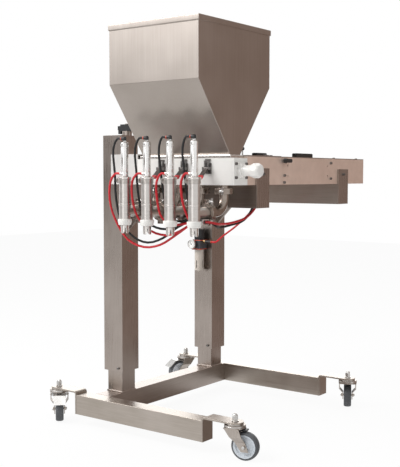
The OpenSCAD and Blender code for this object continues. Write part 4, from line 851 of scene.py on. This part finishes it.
# %% Places of the screws
LATCHES_X = (310, 410, 510)
right = [(616, y, z) for y in (10, 70) for z in (957, 1003)]
right += [(622, y, 969) for y in POSTS_Y]
right += [(616, y, z) for y, z in ((315, 939.5), (316, 964.5), (660, 952.5), (660, 1012.5))]
rear = [(x, 942, z) for x in (220, 592) for z in (952, 1011)]
front = [(x, -4, 975) for x in LATCHES_X]
front += [(-11.5, y - 47.5, 215) for y in POSTS_Y]
above = [(x, y, 1031.5) for x in (206, 606) for y in (704, 894)]
above += [(606, y, 1033) for y in (204, 224, 244)]
deep_spots = [(place, direction)
    for row, direction in ((right, RIGHT), (rear, BACK), (front, FRONT)) for place in row]
flat_spots = [(place, UP) for place in above]
for name, height, spots in (("deep_cap_screws", 6, deep_spots), ("flat_cap_screws", 3, flat_spots)):
    repeated(name, cap_screw(height), spots, "head", ["socket_screws"], "screw_steel",
        STEEL["screw"])

# %% [markdown]
# ## Dosing head
# The block and its top plate are milled from white acetal, which keeps a soft sheen and a small
# chamfer. The valve housing is of the same white acetal, drawn greyer as painted shade. The inner
# parts are dressed too, because they show when the hopper is lifted off. The neck flange of the
# hopper is polished.

# %% Block, plate, housing, inner parts and hopper
NECK_FLANGE = ((150, -100, 1020), (700, 300, 1033.5))
dressed_all([
    ("manifold_block", PLASTIC["white"], 1.2), ("top_plate", PLASTIC["white"], SHEET),
    # the valve housing takes the greyer copy of white acetal, as painted shade
    ("valve_housing", PLASTIC["housing"], 1.2), ("valve_core", PLASTIC["gloss white"], FINE_EDGE),
    ("measuring_cylinders", STEEL["polished"], FINE_EDGE),
    ("drive_cylinder", STEEL["aluminium"], SHEET), ("pistons", PLASTIC["gloss white"], FINE_EDGE),
    ("piston_seals", PLASTIC["seal"], FINE_EDGE), ("crosshead", STEEL["aluminium"], SHEET),
    ("drive_rod", STEEL["polished"], FINE_EDGE)])
dressed_all([(f"plunger_{i}", STEEL["polished"], 0.4) for i in (1, 2, 3, 4)])
dressed("hopper", STEEL["hopper"], 2.0, [(*NECK_FLANGE, STEEL["polished"])])

# %% [markdown]
# The handle of the valve is turned from white acetal: a flange, a waist and a barrel that the
# hand takes, with a rounded end. It is one profile about the X axis, with eight shallow flutes
# in the rows of the barrel.

# %% Valve handle
HANDLE = [(0, 0), (23, 0), (24, 1), (24, 9), (23.2, 11), (21, 12), (17.2, 12.4), (17.2, 14),
    (18.6, 15.4), (18.4, 17), (18, 24), (18.2, 32), (19.4, 40), (21.5, 46), (24, 50), (25, 53),
    (25, 60), (25, 68), (24.2, 72.5), (22, 76), (18.5, 79), (13, 80.5), (0, 80.5)]
VALVE_AXIS, BARREL = (616.5, 40, 980), range(14, 20)
handle_work = bmesh.new()
turned(handle_work, HANDLE, VALVE_AXIS, RIGHT, steps=96, ribs=8, depth=1.2, rows=BARREL)
piece("valve_handle_piece", handle_work, "valve", ["valve_handle"], None, PLASTIC["gloss white"])

# %% [markdown]
# ## Spouts
# Four spouts stand 100 mm apart, so each of their parts is built once about its own axis and
# repeated on the four lanes. The tube is ground and carries a bright ring, the head has a bright
# flange, and the air cylinder has the rolled ends of a round pneumatic cylinder.

# %% Tubes, heads and air cylinders
LANES, SPOUT_Y = (247, 347, 447, 547), -127
RING = [(19.6, 861.5), (20.4, 862), (20.7, 863.5), (20.7, 866), (20.4, 867.5), (19.6, 868),
    (19.6, 861.5)]
FLANGE = [(14, 950), (22, 950), (23.4, 951), (23.6, 952.5), (23.6, 956.5), (23, 958.4),
    (21.5, 959.4), (14, 959.6), (14, 950)]
AIR_CYLINDER = [(0, 959), (13, 959), (13.5, 959.8), (13.5, 972.5), (12.9, 973.6), (12.7, 975),
    (12.9, 976.4), (13.2, 977.4), (13.2, 1058), (12.9, 1059), (12.7, 1060.4), (12.9, 1061.8),
    (13.5, 1063), (13.5, 1073), (12.8, 1075.4), (10.5, 1077.4), (7, 1078), (0, 1078)]


def on_lanes(name, work, nodes, slot, material):
    spots = [((x, SPOUT_Y, 0), UP) for x in LANES]
    repeated(name, welded(name, work), spots, "head", nodes, slot, material)


dressed("spout_bodies", STEEL["ground"], 0.6)
dressed("spout_heads", STEEL["cast"], SHEET)
for name, profile, nodes, slot, material in (
        ("spout_rings", RING, [], "polished_steel", STEEL["polished"]),
        ("spout_flanges", FLANGE, [], "dull_steel", STEEL["polished"]),
        ("air_cylinder_shells", AIR_CYLINDER, ["air_cylinders"], None, STEEL["aluminium"])):
    work = bmesh.new()
    turned(work, profile)
    on_lanes(name, work, nodes, slot, material)

# %% [markdown]
# The cap nut that holds a nozzle is white and has two steps, the upper one ribbed for the hand.

# %% Cap nuts
CAP_NUT = [(14.2, 794), (19.5, 794), (21.4, 795), (22.2, 797), (22.4, 800.6), (23, 801.6),
    (24, 802.4), (24, 812.4), (23.2, 814.2), (20.4, 815), (20.4, 800), (14.2, 799.8), (14.2, 794)]
cap_work = bmesh.new()
turned(cap_work, CAP_NUT, steps=120, ribs=24, depth=0.9, rows=(6, 7))
on_lanes("ribbed_cap_nuts", cap_work, ["spout_caps"], None, PLASTIC["gloss white"])

# %% [markdown]
# The nozzle below the nut ends in a crown of four rounded fingers. A finger is a patch bent
# round the axis whose width shrinks towards its tip, which gives the arches between the fingers.

# %% Nozzle crowns
NOZZLE = [(10, 784), (14, 784), (14, 793), (13, 794), (13, 812), (10, 812), (10, 784)]
FINGERS, HALF_FINGER = 4, 40   # their number, and half the angle of one at its root


def finger(work, facing, inner=10.0, outer=14.0, top=784.0, tip=765.0, rows=10, columns=8):
    """One finger of the crown: half its width follows a quarter of an ellipse to the tip."""
    sides = []
    for radius in (outer, inner):
        grid = []
        for row in range(rows + 1):
            down = row / rows
            half = math.radians(HALF_FINGER) * math.sqrt(max(1 - (0.96 * down) ** 2.2, 0.0))
            angles = [facing + half * (2 * c / columns - 1) for c in range(columns + 1)]
            grid.append([work.verts.new((radius * math.cos(angle), radius * math.sin(angle),
                top + down * (tip - top))) for angle in angles])
        sides.append(grid)
    for grid in sides:
        for low, high in zip(grid, grid[1:]):
            for c in range(columns):
                work.faces.new((low[c], low[c + 1], high[c + 1], high[c]))
    rims = [[row[0] for row in grid] + grid[-1][1:] + [row[-1] for row in reversed(grid)][1:]
        for grid in sides]
    for a, b, c, d in zip(rims[0], rims[0][1:], rims[1][1:], rims[1]):
        work.faces.new((a, b, c, d))


crown_work = bmesh.new()
turned(crown_work, NOZZLE)
for i in range(FINGERS):
    finger(crown_work, 2 * math.pi * i / FINGERS)
on_lanes("nozzle_crowns", crown_work, ["nozzle_tips"], None, STEEL["polished"])

# %% [markdown]
# ## Feed pipes and clamps
# The bent pipes and the clamps that join them are cast and polished, with a bolt and a wing nut
# on each clamp. A wing nut is a turned boss with two thin wings, whose outer ends are lifted.

# %% Pipes, clamps and wing nuts
NUT_BOSS = [(0, 0), (6.5, 0), (6.5, 1.5), (5, 3), (4.4, 9), (3, 9.6), (3, 14), (2.4, 14.8),
    (0, 14.8)]
WING_LIFT = 3
dressed("feed_pipes", STEEL["pipe"], 0.6)
dressed("pipe_clamps", STEEL["pipe"], 1.0)
nut_work = bmesh.new()
turned(nut_work, NUT_BOSS, steps=24)
for side in (-1, 1):
    for corner in block(nut_work, (3, -1.3, 3), (12, 1.3, 12)):
        corner.co.x *= side
        corner.co.z += WING_LIFT if abs(corner.co.x) > 8 else 0
nut_spots = [((x + 9, y, z), RIGHT) for y, z in ((-54, 877), (4, 911)) for x in LANES]
repeated("wing_nuts", rounded(welded("wing_nut", nut_work), 0.6), nut_spots, "head", [],
    "dull_steel", STEEL["zinc"])

# %% [markdown]
# ## Latches
# Three draw latches hold the block: a plate with a pin, a lever with a red grip and a pair of
# wire springs up to the catch. A spring is a helix that is swept by a small circle, drawn here
# ring by ring so that it stays a closed mesh.

# %% Latches, springs and grips
LEVER_LEAN = Matrix.Rotation(math.radians(42), 4, "X")
LEVER_PIN = (-12, 987.5)


def spring(work, centre, radius, low, high, wire=0.9, turns=7, per_turn=14, sides=6):
    count = turns * per_turn
    section = [2 * math.pi * s / sides for s in range(sides)]
    rings = []
    for i in range(count + 1):
        angle = 2 * math.pi * i / per_turn
        out = Vector((math.cos(angle), math.sin(angle), 0))
        core = Vector(centre) + radius * out + Vector((0, 0, low + (high - low) * i / count))
        rings.append([work.verts.new(core + wire * (math.cos(t) * out + math.sin(t) * Vector(UP)))
            for t in section])
    join_rings(work, rings)
    work.faces.new(rings[0])
    work.faces.new(rings[-1])


dressed("latch_bases", STEEL["screw"], 0.4)
dressed("latch_levers", STEEL["dark"], FINE_EDGE)
spring_work, grip_work = bmesh.new(), bmesh.new()
for x in LATCHES_X:
    for side in (-1, 1):
        spring(spring_work, (x + 7 * side, -9.5, 0), 3.2, 993, 1014)
    for corner in block(grip_work, (-9.4, -50, -4.4), (9.4, -37, 4.4)):
        corner.co = LEVER_LEAN @ corner.co + Vector((x, *LEVER_PIN))
piece("latch_springs", spring_work, "head", [], "polished_steel", STEEL["screw"])
piece("latch_grips", grip_work, "latches", [], "red_hose", PLASTIC["red"], edge=2.0, segments=3)

# %% [markdown]
# ## Air fittings
# A push-in elbow has a black body and an orange ring that releases the hose, a screwed elbow is
# plated, and the distributor is an aluminium block. They are one piece in the model and come in
# five finishes here, so each finish is collected in a bmesh of its own. Every ring is a closed
# band whose bore takes the hose.

# %% Elbows on the air cylinders
BORE = 4.1
UPPER_PORT, LOWER_PORT = 1090, 970
ELBOW = [(0, 1083), (6, 1083), (6.5, 1084), (6.5, 1092), (5.6, 1095), (3.5, 1096.5), (0, 1096.8)]
UPPER_RING = [(BORE, 12), (5.4, 12), (5.6, 13), (5.6, 15.4), (5, 16), (BORE, 16), (BORE, 12)]
LOWER_RING = [(BORE, 19.2), (5.2, 19.2), (5.4, 20), (5.4, 21.6), (BORE, 22), (BORE, 19.2)]
fittings = {finish: bmesh.new() for finish in ("black", "orange", "plated", "aluminium", "brass")}
for x in LANES:
    rod(fittings["plated"], (x, SPOUT_Y, 1078), UP, 6.2, 5.5, steps=6)
    turned(fittings["black"], ELBOW, (x, SPOUT_Y, 0))
    rod(fittings["black"], (x, SPOUT_Y, UPPER_PORT), LEFT, 5.9, 12.4)
    turned(fittings["orange"], UPPER_RING, (x, SPOUT_Y, UPPER_PORT), LEFT)
    rod(fittings["plated"], (x - 13, SPOUT_Y, LOWER_PORT), LEFT, 5.7, 6.4)
    turned(fittings["orange"], LOWER_RING, (x, SPOUT_Y, LOWER_PORT), LEFT)
print("elbows on", len(LANES), "air cylinders")

# %% [markdown]
# The distributor sits behind the last spout: an aluminium block with two rows of ports on its
# left for the lanes, and two ports on its right for the supply. Three plated stubs stand under
# the box, and an elbow with a plated end leads to the regulator.

# %% Distributor, stubs and regulator elbow
PORT_PITCH, PORT_ROWS = 9, (807.5, 816.5)
PORT_COLLAR = [(BORE, 0), (4.45, 0), (4.45, 2.4), (BORE, 2.6), (BORE, 0)]
SUPPLY_COLLAR = [(BORE, 0), (5.6, 0), (5.6, 2.6), (BORE, 3), (BORE, 0)]
STUB_COLLAR = [(BORE, 919.5), (6.2, 919.5), (6.6, 920.5), (6.6, 924.5), (BORE, 924.5),
    (BORE, 919.5)]
ELBOW_COLLAR = [(BORE, 0), (5.6, 0), (5.6, 3.6), (BORE, 4), (BORE, 0)]
block(fittings["aluminium"], (530, -102, 803), (564, -66, 821))
for i in range(len(LANES)):
    for z in PORT_ROWS:
        turned(fittings["black"], PORT_COLLAR, (530, -70.5 - PORT_PITCH * i, z), LEFT, steps=24)
for y in (-90, -78):
    turned(fittings["black"], SUPPLY_COLLAR, (564, y, 812), RIGHT, steps=24)
for x, y in ((550, 260), (534, 250), (410, 512)):
    rod(fittings["plated"], (x, y, 924), UP, 7, 7.5, steps=6)
    turned(fittings["black"], STUB_COLLAR, (x, y, 0))
rod(fittings["brass"], (-14.5, 679, 677), RIGHT, 7, 12)
rod(fittings["black"], (-3, 679, 677), RIGHT, 6.2, 30)
turned(fittings["orange"], ELBOW_COLLAR, (27, 679, 677), RIGHT)
print("ports:", len(LANES) * len(PORT_ROWS) + 2, "on the distributor")

# %% [markdown]
# A pin with a black ball stands in front of the grips. It is the last of the fittings, and each
# finish now becomes a piece of its own.

# %% Ball pin, and the fittings by finish
BALL_R, BALL_Z, PIN = 7, 1056, (575, 110)
rod(fittings["plated"], (*PIN, 1033), UP, 2.5, 19)
ball = [(BALL_R * math.sin(math.radians(a)), BALL_Z - BALL_R * math.cos(math.radians(a)))
    for a in range(0, 181, 15)]
turned(fittings["black"], ball, (*PIN, 0))
FITTING_FINISH = {"black": PLASTIC["black"], "orange": PLASTIC["orange"], "plated": STEEL["zinc"],
    "aluminium": STEEL["aluminium"], "brass": STEEL["brass"]}
for finish, work in fittings.items():
    piece("fittings_" + finish, work, "head", ["air_fittings"], None, FITTING_FINISH[finish],
        edge=0.8 if finish == "aluminium" else 0.0)

# %% [markdown]
# ## Filter regulator
# The regulator on the second column has a dark body with two orange bands, a ribbed knob and a
# beige bowl guard. The bowl shows black through the two windows of its guard, so a black liner
# stands inside it.

# %% Regulator, knob and bowl
REGULATOR = (-37.5, 679, 0)
BAND_HALF, BANDS = 23.4, ((642.5, 646), (681, 684.5))
LINER = [(0, 556), (16.2, 556), (16.2, 640), (0, 640)]
KNOB = [(6.3, 686.4), (19.5, 686.4), (21, 688), (21, 704), (20, 706), (20.6, 708), (20.6, 726),
    (19, 731), (15, 733.6), (0, 734.2)]
KNURLED = (2, 3, 5, 6)
dressed("regulator_body", PLASTIC["grey"], 1.2)
dressed("regulator_bowl", PLASTIC["stone"], 1.5)
band_work, liner_work, knob_work = bmesh.new(), bmesh.new(), bmesh.new()
x, y, _ = REGULATOR
for low, high in BANDS:
    block(band_work, (x - BAND_HALF, y - BAND_HALF, low), (x + BAND_HALF, y + BAND_HALF, high))
turned(liner_work, LINER, REGULATOR)
turned(knob_work, KNOB, REGULATOR, steps=120, ribs=30, depth=0.9, rows=KNURLED)
piece("regulator_bands", band_work, "head", [], "grey_plastic", PLASTIC["orange"], edge=1.2)
piece("bowl_liner", liner_work, "head", [], "grey_plastic", PLASTIC["black"])
piece("regulator_knob_piece", knob_work, "pressure_knob", ["regulator_knob"], None,
    PLASTIC["black"])

# %% [markdown]
# The gauge of 40 mm has a plated case and a white dial. The dial carries a plain scale of
# strokes and a needle and no lettering, each stroke a thin bar that is turned about the axis.

# %% Gauge
GAUGE = (-50.5, 656, 666)
CASE = [(0, 0), (5, 0), (5, 6), (17, 6), (19.4, 7.2), (20, 9), (20, 17.4), (19.2, 18.8),
    (18.2, 19), (17.6, 18.2), (17.4, 16.4), (0, 16.4)]
DIAL = [(0, 16.9), (17.2, 16.9), (17.2, 16.5), (0, 16.5)]
HUB_CAP = [(0, 16.9), (2, 16.9), (2, 18.2), (0, 18.2)]
STROKES, FIRST_STROKE, STROKE_STEP, NEEDLE = 13, -135, 22.5, -40


def mark(work, low, high, degrees):
    """Thin bar in front of the dial, turned about the axis of the gauge."""
    for corner in block(work, low, high):
        corner.co = Matrix.Rotation(math.radians(degrees), 4, "Y") @ corner.co + Vector(GAUGE)


case_work, dial_work, mark_work = bmesh.new(), bmesh.new(), bmesh.new()
turned(case_work, CASE, GAUGE, FRONT, steps=56)
turned(dial_work, DIAL, GAUGE, FRONT, steps=56)
for i in range(STROKES):
    mark(mark_work, (-0.5, -17.6, 11.5), (0.5, -16.8, 15.5), FIRST_STROKE + STROKE_STEP * i)
mark(mark_work, (-0.6, -18.0, -3), (0.6, -17.4, 12), NEEDLE)
turned(mark_work, HUB_CAP, GAUGE, FRONT, steps=20)
for name, work, material in (("gauge_case", case_work, STEEL["zinc"]),
        ("gauge_dial", dial_work, PLASTIC["dial"]), ("gauge_marks", mark_work, PLASTIC["black"])):
    piece(name, work, "head", ["pressure_gauge"], None, material)

# %% [markdown]
# ## Height lever and wing knob
# Both are moulded black nylon with generous radii. The lever turns on a bright screw.

# %% Lever and knob
LEVER_SCREW = [(0, 1162.3), (7.5, 1162.3), (7.5, 1164.6), (6.8, 1165.6), (3, 1166), (0, 1166)]
dressed("lift_lever", PLASTIC["black"], 2.0)
dressed("box_knob", PLASTIC["black"], 1.5)
screw_work = bmesh.new()
turned(screw_work, LEVER_SCREW, (-24, 193, 0))
piece("lever_screw", screw_work, "height_lever", [], "screw_steel", STEEL["zinc"])

# %% [markdown]
# ## End
# Every piece is built by now.

# %% Finish
print("all pieces built")
